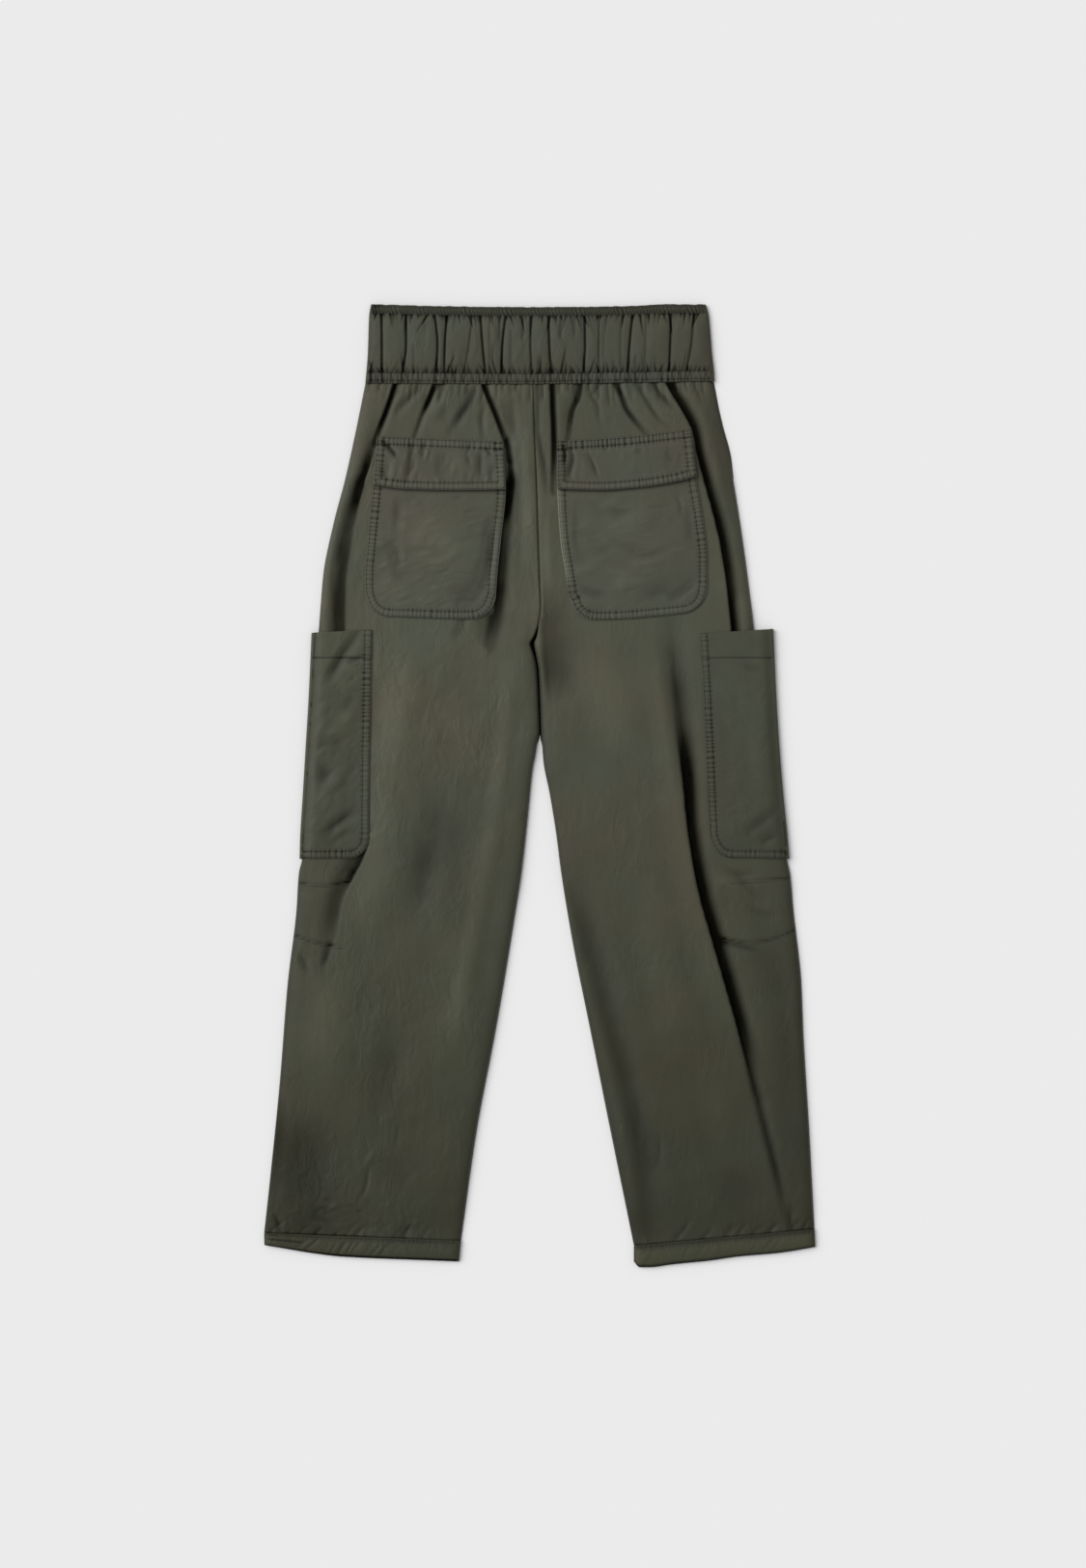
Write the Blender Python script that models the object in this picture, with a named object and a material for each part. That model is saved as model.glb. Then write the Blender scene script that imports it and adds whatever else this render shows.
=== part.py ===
"""Cargo pants with an elastic waist, laid flat on their front, so the back shows.

X runs across, with the wearer's left side at -X. Y runs from the hems up to the waist, and Z
stands up from the surface that they lie on. Tables and sizes are in millimetres, and meshes in
metres. The middle of the garment's outline is at X = Y = 0, and its underside is at Z = 0.
"""

import math
from collections import namedtuple

import bmesh
import bpy

MM = 0.001
GAP = 0.3  # between two pieces at a seam, or where one lies on another
WALL = 1.0  # one layer of cotton with its seam turnings
HEM_WALL = 1.2  # a hem turned over on itself
BAND_WALL = 1.6  # the waistband, doubled over its elastic
TUBE_HEIGHT = 4.4  # a hem or the waistband lying flat, where stitching holds it down

# Heights of the two lying layers above the surface.
FRONT_TOP = WALL
EDGE_TOP = FRONT_TOP + GAP + WALL  # the back layer where it meets the front at a side seam
POCKET_LIFT = WALL + GAP  # the leg lies on the front half of its cargo pocket
CROWN = 3.8  # the back layer rises this far between its seams
CARGO_CROWN = 3.0  # and this far where it lies on a cargo pocket
CEILING = 4.9  # the back layer's underside stays below this, so the leg lies closed
ROUNDING = 15.0  # width over which a layer curves down to its seam
END_SLOPE = 34.0  # length over which it comes down to the waistband and the hem
WAIST_END, HEM_END = 416.0, -465.0
WAIST_SHARE, HEM_SHARE = 0.55, 0.6  # of its crown, the back layer keeps these at those ends
LEAST_CROWN = 0.5  # what a trough leaves of the crown
CENTRE_SEAM = (175, 120)  # the seat's centre seam ends between these heights
CARGO_TOP = (198, 174)  # the leg rises onto its cargo pocket between these heights
CARGO_LOW = (-98, -128)  # and comes off it between these

# Every line runs from the waist to the hem: (y, x) where it crosses that height.
LINES = {
    "left": {
        "inner": (
            (415, -7.5), (354, -5.5), (304, -3.5), (212, -0.5), (184, 0.5), (169, -1.5),
            (154, -6.5), (147, -10.5), (124, -5.5), (94, -3.5), (42, -2.5), (15, -8.5),
            (-29, -12.5), (-84, -18.5), (-156, -29.5), (-256, -46.5), (-356, -65.5), (-471, -82),
        ),
        "outer": (
            (416, -181), (369, -190.5), (319, -201.5), (269, -214.5), (219, -224.5),
            (169, -228.5), (114, -233), (49, -239), (-46, -244.8), (-75, -246.2), (-91, -249.7),
            (-131, -252.5), (-206, -261.5), (-306, -269.5), (-406, -279.5), (-463, -285.7),
        ),
        "inner valley": (
            (416, -56.5), (394, -51.5), (374, -45.5), (355, -35), (334, -32), (304, -30.5),
            (254, -35.5), (147, -40.5), (42, -39.5), (-75, -54.5), (-256, -84.5), (-471, -116.5),
        ),
        "pocket inner": (
            (416, -62.5), (394, -57), (374, -50.5), (355, -38), (334, -36.5), (306, -35.5),
            (254, -40.5), (214, -44.5), (171, -47), (114, -59.5), (-75, -79.5), (-256, -112.5),
            (-471, -143.5),
        ),
        "inner gather": (
            (416, -74), (399, -76), (374, -84), (354, -88), (306, -86), (254, -90),
            (171, -92), (114, -90), (-75, -104), (-256, -137), (-471, -164),
        ),
        "middle fold": (
            (416, -111.5), (399, -115.5), (384, -123.5), (354, -132.5), (314, -137.5),
            (254, -150.5), (171, -147.5), (114, -127.5), (42, -119.5), (-75, -131.5),
            (-256, -164.5), (-471, -186.5),
        ),
        "outer gather": (
            (416, -129), (389, -137), (354, -150), (306, -154), (254, -164), (171, -163),
            (114, -151), (-75, -154), (-256, -194), (-471, -212),
        ),
        "pocket outer": (
            (416, -147.5), (389, -154.5), (361, -168.5), (311, -172.5), (254, -178),
            (214, -181), (174, -179.5), (158, -173.5), (-46, -176.5), (-75, -176.5),
            (-91, -191.5), (-111, -206.5), (-131, -215.5), (-186, -222.5), (-256, -223.5),
            (-356, -226.5), (-471, -236.5),
        ),
        "outer valley": (
            (416, -153), (394, -158), (379, -164.5), (359, -174), (334, -179.5), (314, -184),
            (284, -194.5), (214, -205.5), (159, -209.5), (42, -213.5), (-75, -219.5),
            (-111, -229.5), (-186, -241.5), (-356, -250.5), (-471, -262.5),
        ),
    },
    "right": {
        "inner": (
            (415, -7.2), (354, -5.2), (304, -3.2), (212, -0.2), (184, 0.8), (169, -1.0),
            (154, -3.5), (147, -5), (124, -2.5), (94, 0), (44, 1.5), (24, 3.8), (-8, 9.8),
            (-52, 16.9), (-84, 20.9), (-156, 32.5), (-256, 52.5), (-356, 72.5), (-476, 97),
        ),
        "outer": (
            (418, 177.5), (392, 182.5), (371, 187.5), (344, 195), (319, 199.5), (269, 207.5),
            (219, 214.5), (169, 220.5), (124, 224.5), (49, 234.5), (-46, 251.6), (-75, 255.1),
            (-91, 258.5), (-131, 262.5), (-206, 270.5), (-256, 272.5), (-356, 278.5), (-459, 284),
        ),
        "inner valley": (
            (416, 11.5), (384, 13.5), (355, 14.2), (305, 14.5), (254, 17), (212, 22.5),
            (170, 27.5), (114, 32.5), (42, 36.5), (-46, 46.5), (-186, 67.5), (-356, 100.5),
            (-476, 124.5),
        ),
        "pocket inner": (
            (416, 16.5), (355, 17.3), (305, 17.8), (254, 20.8), (212, 27.5), (173, 32.5),
            (114, 52.5), (42, 60.5), (-46, 70.5), (-186, 91.5), (-356, 121.5), (-476, 143.5),
        ),
        "inner gather": (
            (416, 43.5), (399, 42), (374, 36), (354, 31), (306, 44), (254, 54), (171, 74),
            (114, 88), (-46, 104), (-186, 125), (-356, 161), (-476, 184),
        ),
        "middle fold": (
            (416, 77.5), (399, 83.5), (384, 92.5), (369, 103.5), (314, 114.5), (254, 122.5),
            (174, 134.5), (94, 137.5), (54, 143.5), (-36, 154.5), (-76, 159.5), (-116, 167.5),
            (-151, 177.5), (-196, 190.5), (-296, 220.5), (-356, 235.5), (-456, 257.5),
        ),
        "outer gather": (
            (416, 99), (399, 104), (374, 119), (354, 131), (306, 140), (254, 147), (171, 154),
            (114, 152), (44, 158), (-46, 165), (-91, 174), (-151, 190), (-246, 217),
            (-356, 243.5), (-456, 262.5),
        ),
        "pocket outer": (
            (417, 123.5), (392, 140.5), (368, 156.5), (318, 162), (274, 169), (234, 173),
            (194, 173), (178, 171.5), (157, 164.5), (114, 167.5), (44, 171), (-51, 175.5),
            (-75, 177), (-91, 184.5), (-111, 192.5), (-151, 204.5), (-246, 229.5),
            (-356, 251.5), (-456, 267.5),
        ),
        "outer valley": (
            (418, 128.5), (404, 140.5), (384, 152.5), (354, 164.5), (334, 170.5), (304, 178.5),
            (254, 188.5), (214, 195.5), (164, 200.5), (44, 210.5), (-51, 219.5), (-151, 235.5),
            (-246, 249.5), (-356, 264.5), (-456, 274.5),
        ),
    },
}

# Levels down a leg, where its cloth or a pocket changes, at the inner and the outer edge, and the
# rows of faces from each level to the next.
Level = namedtuple("Level", "name inner outer steps")
LEVELS = {
    "left": (
        Level("waist seam", 415, 416, 4),
        Level("flap seam", 355, 362, 1),
        Level("pocket mouth", 341, 348, 2),
        Level("flap edge", 304, 311, 3),
        Level("pocket corner", 198, 201, 2),
        Level("pocket foot", 171, 174, 2),
        Level("crotch", 147, 162, 2),
        Level("thigh", 94, 106, 5),
        Level("cargo corner", -51, -51, 1),
        Level("cargo foot", -75, -75, 1),
        Level("upper dart", -101, -101, 2),
        Level("lower dart", -164, -160, 9),
        Level("hem seam", -471, -463, 0),
    ),
    "right": (
        Level("waist seam", 415, 418, 4),
        Level("flap seam", 354, 371, 1),
        Level("pocket mouth", 340, 357, 2),
        Level("flap edge", 304, 322, 3),
        Level("pocket corner", 197, 206, 2),
        Level("pocket foot", 167, 183, 2),
        Level("crotch", 147, 162, 2),
        Level("thigh", 94, 106, 5),
        Level("cargo corner", -51, -51, 1),
        Level("cargo foot", -75, -75, 1),
        Level("upper dart", -101, -98, 2),
        Level("lower dart", -162, -155, 9),
        Level("hem seam", -476, -459, 0),
    ),
}

# Columns of points across a back leg: each stands a distance from one line towards another, or at
# a share of the way where that is less.
FAR = 999.0
Column = namedtuple("Column", "line towards distance share")
COLUMNS = (
    Column("inner", "inner valley", 0, 0),
    Column("inner", "inner valley", 2, 0.14),
    Column("inner", "inner valley", 8, 0.34),
    Column("inner", "inner valley", FAR, 0.62),
    Column("inner valley", "inner", 5, 0.2),
    Column("inner valley", "inner", 0, 0),
    Column("pocket inner", "middle fold", 0, 0),
    Column("pocket inner", "inner gather", FAR, 0.5),
    Column("inner gather", "middle fold", 0, 0),
    Column("inner gather", "middle fold", FAR, 0.5),
    Column("middle fold", "inner gather", 8, 0.25),
    Column("middle fold", "inner gather", 0, 0),
    Column("middle fold", "outer gather", 6, 0.5),
    Column("outer gather", "pocket outer", 0, 0),
    Column("pocket outer", "outer gather", 6, 0.4),
    Column("pocket outer", "outer gather", 0, 0),
    Column("outer valley", "pocket outer", 0, 0),
    Column("outer valley", "outer", 6, 0.24),
    Column("outer", "outer valley", FAR, 0.5),
    Column("outer", "outer valley", 8, 0.3),
    Column("outer", "outer valley", 2, 0.12),
    Column("outer", "outer valley", 0, 0),
)
POCKET_COLUMNS = (6, 15)  # the back pocket lies between these columns
CARGO_COLUMN = 15  # and the cargo pocket's sewn edge follows this one
# Part columns that a pocket's rounded corner needs, beside its inner and its outer edge.
POCKET_INNER_TURN = (0, 0.08, 0.28, 0.6)
POCKET_OUTER_TURN = (1.5, 1, 0.6, 0.25, 0)
CARGO_TURN = (0, 0.05, 0.17, 0.38, 0.6)

# Folds along a line between two heights. A rise below zero is a trough. The widths are to its
# sides towards the inner and towards the outer edge of the leg.
Fold = namedtuple("Fold", "side line top bottom rise inner_width outer_width")
FOLDS = (
    Fold("left", "inner valley", 430, 190, -3.3, 7, 5),
    Fold("left", "inner gather", 430, 335, -1.9, 11, 11),
    Fold("left", "middle fold", 430, 215, -2.2, 12, 10),
    Fold("left", "outer gather", 430, 345, -1.2, 10, 9),
    Fold("left", "outer valley", 430, 150, -2.9, 8, 11),
    Fold("left", "inner", 390, 180, 1.3, 24, 24),
    Fold("left", "pocket outer", -78, -215, -2.6, 16, 14),
    Fold("left", "middle fold", 120, -120, 1.1, 34, 30),
    Fold("left", "inner valley", 110, -300, 0.9, 26, 40),
    Fold("left", "middle fold", -180, -430, -1.2, 26, 22),
    Fold("right", "inner valley", 430, 225, -3.0, 8, 4),
    Fold("right", "inner gather", 430, 335, -1.9, 12, 10),
    Fold("right", "middle fold", 430, 315, -2.1, 10, 9),
    Fold("right", "outer gather", 430, 335, -1.6, 9, 9),
    Fold("right", "outer valley", 430, 150, -3.4, 5, 7),
    Fold("right", "inner", 390, 180, 1.3, 20, 20),
    Fold("right", "outer", 400, 170, 1.2, 34, 34),
    Fold("right", "middle fold", 120, -430, 1.7, 24, 8),
    Fold("right", "outer gather", 90, -440, -3.2, 8, 12),
    Fold("right", "pocket inner", 110, -330, -1.3, 18, 26),
)
FOLD_FADE = 38.0  # length over which a fold begins and ends

# Gathers of the elastic waistband: where each crosses the top edge, the middle and the seam, and
# its depth as a share of the band's puff.
Gather = namedtuple("Gather", "top middle low depth")
GATHERS = (
    Gather(-164.5, -163.5, -163.5, 0.9),
    Gather(-138.5, -138.5, -144.5, 0.6),
    Gather(-110.5, -106.5, -109.5, 0.8),
    Gather(-95.0, -97.5, -98.5, 0.6),
    Gather(-71.5, -75.5, -80.5, 0.5),
    Gather(-61.5, -59.5, -55.5, 1.0),
    Gather(-35.5, -39.5, -40.5, 0.9),
    Gather(-21.5, -22.5, -23.5, 0.5),
    Gather(-8.0, -8.5, -7.0, 0.8),
    Gather(8.5, 8.5, 12.5, 0.9),
    Gather(24.5, 24.5, 26.0, 0.5),
    Gather(45.5, 46.5, 43.5, 1.0),
    Gather(61.5, 60.5, 60.5, 0.7),
    Gather(79.5, 77.5, 75.5, 0.5),
    Gather(96.5, 92.5, 90.5, 1.0),
    Gather(113.5, 112.5, 111.5, 0.5),
    Gather(135.5, 134.5, 132.5, 1.0),
    Gather(159.5, 156.5, 149.5, 0.6),
)
SHOULDER = 0.35  # a gather's steepest part ends at this share of the way to its crest
FLANK = 0.45  # and has this share of the gather's depth there
BAND_TURN = 5.0  # from the band's folded side to the first points of its upper layer
BAND_CREST = 8.0  # and to its first crest
BAND_TOP = 498.0
BAND_SAG = 3.5  # the top edge dips between its corners
BAND_PUFF = 3.4
BAND_LEFT = ((498, -174.5), (484, -177), (444, -178.5), (423, -180.3), (416, -181))
BAND_RIGHT = ((498, 170.5), (484, 174.5), (444, 178), (423, 180.3), (418, 180.5))
# Rows down the band: its share of the way from the top edge, and how far it swells there.
BAND_ROWS = (
    (0.0, 0.15), (0.06, 0.5), (0.13, 0.05), (0.2, 0.6), (0.34, 1.0), (0.5, 1.05), (0.66, 1.0),
    (0.8, 0.65), (0.87, 0.1), (0.93, 0.4), (1.0, 0.15),
)

# The right front stands out past the back by this much, where its side pocket opens.
SIDE_POCKET = ((418, 2.5), (392, 2.3), (344, 2.0), (325, 1.0), (310, 0.2))
# The front leaves the surface between these distances inside its cargo pocket's sewn edge. Above
# and below the pocket, that edge is taken to run on from these heights.
FRONT_LEAVES, FRONT_LIES = 14.0, 3.0
CARGO_EDGE_TOP, CARGO_EDGE_LOW = 157, -75

BACK_POCKET_RADIUS = 25.0
FLAP_LIFT = WALL + 2 * GAP
CARGO_RADIUS = 22.0
CARGO_BULGE = 1.2
CARGO_OUTER = {
    "left": ((161, -236.5), (94, -239.5), (44, -242.5), (-6, -245.5), (-56, -248.5), (-75, -249)),
    "right": ((161, 241.5), (94, 244.5), (44, 247.5), (-6, 251.5), (-56, 256.5), (-75, 258)),
}

HEM_EDGE = {  # (x, y) along the lower edge of each hem, from the inner to the outer side
    "left": ((-84, -493), (-110, -492), (-204, -488), (-238, -484), (-262, -480), (-285.5, -476)),
    "right": (
        (97, -493), (103, -499), (112, -499), (137, -496), (176, -492), (204, -488), (248, -484),
        (285, -478),
    ),
}
HEM_ROWS = ((0.0, 0.1), (0.25, 0.8), (0.55, 1.0), (0.85, 0.6), (1.0, 0.0))
HEM_COLUMNS = 21
HEM_MARGIN = 0.03  # the upper layer's points stop at this share of the width from each side
HEM_PUFF = 2.4
HEM_WAVES = 7
WAVE_SHARE = 0.35  # of the puff, this much goes up and down with the twist


def smooth_step(start, end, value):
    """0 before start, 1 past end, and a soft turn between them."""
    t = min(max((value - start) / (end - start), 0.0), 1.0)
    return t * t * (3.0 - 2.0 * t)


def along(points, at):
    """The second value of a table at a first value, on a smooth curve that never overshoots."""
    points = sorted(points)
    at = min(max(at, points[0][0]), points[-1][0])
    k = next(n for n in range(len(points) - 1) if at <= points[n + 1][0])
    slopes = [(b[1] - a[1]) / (b[0] - a[0]) for a, b in zip(points, points[1:])]

    def tangent(n):
        if n in (0, len(slopes)):
            return slopes[min(n, len(slopes) - 1)]
        before, after = slopes[n - 1], slopes[n]
        return 2 * before * after / (before + after) if before * after > 0 else 0.0

    span = points[k + 1][0] - points[k][0]
    t = (at - points[k][0]) / span
    start, end = points[k][1], points[k + 1][1]
    return (
        start * (1 + 2 * t) * (1 - t) ** 2
        + span * tangent(k) * t * (1 - t) ** 2
        + end * t * t * (3 - 2 * t)
        + span * tangent(k + 1) * t * t * (t - 1)
    )


def bump(distance, inner_width, outer_width):
    """1 on a fold, and 0 past its width on either side."""
    width = inner_width if distance < 0 else outer_width
    t = distance / width
    return (1 - t * t) ** 2 if abs(t) < 1 else 0.0


def round_off(distance):
    """A quarter round: 0 at an edge, and 1 from ROUNDING inwards."""
    t = min(max(distance / ROUNDING, 0.0), 1.0)
    return math.sqrt(1 - (1 - t) ** 2)


def row_heights(side):
    """(y at the inner edge, y at the outer edge) of each row of points from waist to hem."""
    rows = []
    levels = LEVELS[side]
    for level, below in zip(levels, levels[1:]):
        for step in range(level.steps):
            share = step / level.steps
            rows.append(
                (
                    level.inner + share * (below.inner - level.inner),
                    level.outer + share * (below.outer - level.outer),
                )
            )
    rows.append((levels[-1].inner, levels[-1].outer))
    return rows


def level_row(side, name):
    """The number of the row of points at a level."""
    names = [level.name for level in LEVELS[side]]
    return sum(level.steps for level in LEVELS[side][: names.index(name)])


def column_x(side, column, y):
    """Where a column of points crosses a height."""
    start = along(LINES[side][column.line], y)
    gap = along(LINES[side][column.towards], y) - start
    return start + math.copysign(min(column.distance, column.share * abs(gap)), gap)


def point_on_row(side, column, row):
    """The point where a column meets a row, which may slope."""
    inner_y, outer_y = row
    y = (inner_y + outer_y) / 2
    for _ in range(4):
        x = column_x(side, column, y)
        inner_x = along(LINES[side]["inner"], inner_y)
        outer_x = along(LINES[side]["outer"], outer_y)
        y = inner_y + (outer_y - inner_y) * (x - inner_x) / (outer_x - inner_x)
    return x, y


def cargo_zone(y):
    """1 where the leg lies on the front half of its cargo pocket."""
    return smooth_step(*CARGO_TOP, y) * smooth_step(*CARGO_LOW[::-1], y)


def edge_height(y):
    """The top of the back layer at a side seam."""
    return EDGE_TOP + POCKET_LIFT * cargo_zone(y)


def back_height(side, x, y):
    """The top of the back layer of a leg."""
    lines = LINES[side]
    inner_x, outer_x = along(lines["inner"], y), along(lines["outer"], y)
    # The seat's centre seam is sewn flat to its neighbour; below the crotch the edge turns down.
    inner_edge = max(round_off(abs(x - inner_x)), smooth_step(*CENTRE_SEAM[::-1], y))
    edges = min(round_off(abs(x - outer_x)), inner_edge)
    ends = WAIST_SHARE + (1 - WAIST_SHARE) * smooth_step(WAIST_END, WAIST_END - END_SLOPE, y)
    ends *= HEM_SHARE + (1 - HEM_SHARE) * smooth_step(HEM_END, HEM_END + END_SLOPE, y)
    outwards = math.copysign(1, outer_x - inner_x)
    relief = 0.0
    for fold in FOLDS:
        if fold.side != side or not fold.bottom < y < fold.top:
            continue
        fade = smooth_step(fold.bottom, fold.bottom + FOLD_FADE, y)
        fade *= smooth_step(fold.top, fold.top - FOLD_FADE, y)
        distance = (x - along(lines[fold.line], y)) * outwards
        relief += fold.rise * fade * bump(distance, fold.inner_width, fold.outer_width)
    crown = CROWN + (CARGO_CROWN - CROWN) * cargo_zone(y)
    crown = max(crown * ends + relief, LEAST_CROWN)
    return edge_height(y) + crown * edges


def underside(y, top):
    """The underside of the back layer below a point of its top."""
    return max(min(top - WALL, CEILING), edge_height(y) - WALL)


def back_points(side):
    """The points of a back leg's top, as rows from waist to hem of columns from inner to outer."""
    rows = []
    for row in row_heights(side):
        flat = [point_on_row(side, column, row) for column in COLUMNS]
        rows.append([(x, y, back_height(side, x, y)) for x, y in flat])
    return rows


def on_points(rows, column, row):
    """The point at a part column and part row of a panel, on its own triangles."""
    i = min(int(column), len(rows[0]) - 2)
    j = min(int(row), len(rows) - 2)
    s, t = column - i, row - j
    corner, across = rows[j][i], rows[j + 1][i + 1]
    if s >= t:
        shares = ((corner, 1 - s), (rows[j][i + 1], s - t), (across, t))
    else:
        shares = ((corner, 1 - t), (rows[j + 1][i], t - s), (across, s))
    return tuple(sum(point[k] * share for point, share in shares) for k in range(3))


def finish_piece(mesh_data, name, material):
    """Puts a bmesh in the scene as a named, smooth, closed object."""
    bmesh.ops.recalc_face_normals(mesh_data, faces=mesh_data.faces[:])
    if mesh_data.calc_volume(signed=True) < 0:
        bmesh.ops.reverse_faces(mesh_data, faces=mesh_data.faces[:])
    mesh = bpy.data.meshes.new(name)
    mesh_data.to_mesh(mesh)
    mesh_data.free()
    mesh.materials.append(material)
    mesh.shade_smooth()
    mesh.set_sharp_from_angle(angle=math.radians(50))
    piece = bpy.data.objects.new(name, mesh)
    bpy.context.scene.collection.objects.link(piece)
    return piece


def grid_index(vertex, columns, rows):
    """The column and row of a vertex of a fresh grid, counted from its -X and -Y corner."""
    return round((vertex.co.x + 1) / 2 * columns), round((vertex.co.y + 1) / 2 * rows)


def sheet(name, material, top, under):
    """A layer of cloth: a grid given a second side, each moved to its rows of points."""
    columns, rows = len(top[0]) - 1, len(top) - 1
    cloth = bmesh.new()
    bmesh.ops.create_grid(cloth, x_segments=columns, y_segments=rows, size=1.0)
    bmesh.ops.triangulate(cloth, faces=cloth.faces[:], quad_method="FIXED")
    lower = cloth.verts[:]
    grown = bmesh.ops.extrude_face_region(cloth, geom=cloth.faces[:])
    upper = [item for item in grown["geom"] if isinstance(item, bmesh.types.BMVert)]
    for vertices, points in ((lower, under), (upper, top)):
        for vertex in vertices:
            column, row = grid_index(vertex, columns, rows)
            vertex.co = [value * MM for value in points[row][column]]
    return finish_piece(cloth, name, material)


def tube(name, material, outer, inner):
    """A flattened ring of cloth: a grid rolled round, with its outer rows, then its inner rows."""
    loops = outer + inner[::-1] + outer[:1]
    loops = [loop + loop[:1] for loop in loops]
    columns, rows = len(loops[0]) - 1, len(loops) - 1
    cloth = bmesh.new()
    bmesh.ops.create_grid(cloth, x_segments=columns, y_segments=rows, size=1.0)
    for vertex in cloth.verts:
        column, row = grid_index(vertex, columns, rows)
        vertex.co = [value * MM for value in loops[row][column]]
    bmesh.ops.remove_doubles(cloth, verts=cloth.verts[:], dist=1e-7)
    bmesh.ops.triangulate(cloth, faces=cloth.faces[:], quad_method="FIXED")
    return finish_piece(cloth, name, material)


def back_leg(side, material, points):
    """The upper layer of a leg and its half of the seat."""
    under = [[(x, y, underside(y, top)) for x, y, top in row] for row in points]
    return sheet(f"back_{side}", material, points, under)


def front_leg(side, material):
    """The lower layer: flat on the surface, and raised where its cargo pocket lies under it."""
    lines = LINES[side]
    outwards = math.copysign(1, lines["outer"][0][1])
    mouth, foot = level_row(side, "crotch"), level_row(side, "cargo foot")
    top, under = [], []
    for number, (inner_y, outer_y) in enumerate(row_heights(side)):
        inner_x, seam_x = along(lines["inner"], inner_y), along(lines["outer"], outer_y)
        if side == "right":
            seam_x += along(SIDE_POCKET, outer_y)
        edge_y = min(max((inner_y + outer_y) / 2, CARGO_EDGE_LOW), CARGO_EDGE_TOP)
        edge_x = along(lines["pocket outer"], edge_y)
        clear_x, lifted_x = edge_x - FRONT_LEAVES * outwards, edge_x - FRONT_LIES * outwards
        flat = [inner_x + share * (clear_x - inner_x) for share in (0, 0.35, 0.7, 1)]
        lifted = [lifted_x, (lifted_x + seam_x) / 2, seam_x]
        lift = POCKET_LIFT if mouth <= number <= foot else 0.0
        spots = [(x, 0.0) for x in flat] + [(x, lift) for x in lifted]
        slope = (outer_y - inner_y) / (seam_x - inner_x)
        top.append([(x, inner_y + slope * (x - inner_x), z + FRONT_TOP) for x, z in spots])
        under.append([(x, inner_y + slope * (x - inner_x), z) for x, z in spots])
    return sheet(f"front_{side}", material, top, under)


def rounded_row(start, end, row, column_point, edge_points, radius):
    """A row number moved up where a pocket's lower corners are rounded."""
    nearest = min(math.dist(column_point[:2], edge[:2]) for edge in edge_points)
    if nearest >= radius or row <= start:
        return row
    rise = 1 - math.sqrt(1 - (1 - nearest / radius) ** 2)
    return start + (row - start) * (1 - rise)


def back_pocket(side, material, points):
    """A flat bag with rounded lower corners, sewn on the back."""
    first, last = POCKET_COLUMNS
    mouth, corner = level_row(side, "pocket mouth"), level_row(side, "pocket corner")
    foot = level_row(side, "pocket foot")
    columns = [first + share for share in POCKET_INNER_TURN]
    columns += range(first + 1, last - 1)
    columns += [last - share for share in POCKET_OUTER_TURN]
    edges = (points[foot][first], points[foot][last])
    top, under = [], []
    for row in range(mouth, foot + 1):
        spots = []
        for column in columns:
            at_foot = on_points(points, column, foot)
            moved = rounded_row(corner, foot, row, at_foot, edges, BACK_POCKET_RADIUS)
            spots.append(on_points(points, column, moved))
        top.append([(x, y, z + GAP + WALL) for x, y, z in spots])
        under.append([(x, y, z + GAP) for x, y, z in spots])
    return sheet(f"pocket_{side}", material, top, under)


def flap(side, material, points):
    """The flap, sewn above the pocket's mouth and lying on the bag."""
    first, last = POCKET_COLUMNS
    seam, mouth = level_row(side, "flap seam"), level_row(side, "pocket mouth")
    edge = level_row(side, "flap edge")
    top, under = [], []
    for row in range(seam, edge + 1):
        lift = GAP if row < mouth else FLAP_LIFT
        spots = [points[row][column] for column in range(first, last + 1)]
        top.append([(x, y, z + lift + WALL) for x, y, z in spots])
        under.append([(x, y, z + lift) for x, y, z in spots])
    return sheet(f"flap_{side}", material, top, under)


def cargo_pocket(side, material, points):
    """A pocket wrapped round the side seam, with one half under the leg and one on it."""
    outwards = math.copysign(1, points[0][-1][0])
    mouth, corner = level_row(side, "crotch"), level_row(side, "cargo corner")
    foot = level_row(side, "cargo foot")
    last = len(COLUMNS) - 1
    corner_columns = [CARGO_COLUMN + share for share in CARGO_TURN]
    back = [*corner_columns, *range(CARGO_COLUMN + 1, last + 1)]
    front = [last, last - 2, CARGO_COLUMN + 1, *corner_columns[::-1]]
    edge = (points[foot][CARGO_COLUMN],)

    def spot(column, row):
        at_foot = on_points(points, column, foot)
        moved = rounded_row(corner, foot, row, at_foot, edge, CARGO_RADIUS)
        return on_points(points, column, moved)

    outside, inside = [], []
    for row in range(mouth, foot + 1):
        out_row, in_row = [], []
        down = (row - mouth) / (foot - mouth)
        for column in back:
            x, y, z = spot(column, row)
            across = (column - CARGO_COLUMN) / (last - CARGO_COLUMN)
            bulge = CARGO_BULGE * math.sin(math.pi * across) * math.sin(math.pi * down)
            in_row.append((x, y, z + GAP))
            out_row.append((x, y, z + GAP + WALL + bulge))
        _, seam_y, seam_z = spot(last, row)
        outer_radius = (seam_z + GAP + WALL) / 2
        fold_x = along(CARGO_OUTER[side], seam_y) - outwards * outer_radius
        for quarter in (2, 1, 0, -1, -2):
            turn = quarter * math.pi / 4
            for row_points, radius in ((out_row, outer_radius), (in_row, outer_radius - WALL)):
                x = fold_x + outwards * radius * math.cos(turn)
                row_points.append((x, seam_y, outer_radius + radius * math.sin(turn)))
        for column in front:
            x, y, _ = spot(column, row)
            in_row.append((x, y, WALL))
            out_row.append((x, y, 0.0))
        outside.append(out_row)
        inside.append(in_row)
    return sheet(f"cargo_{side}", material, outside, inside)


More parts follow.
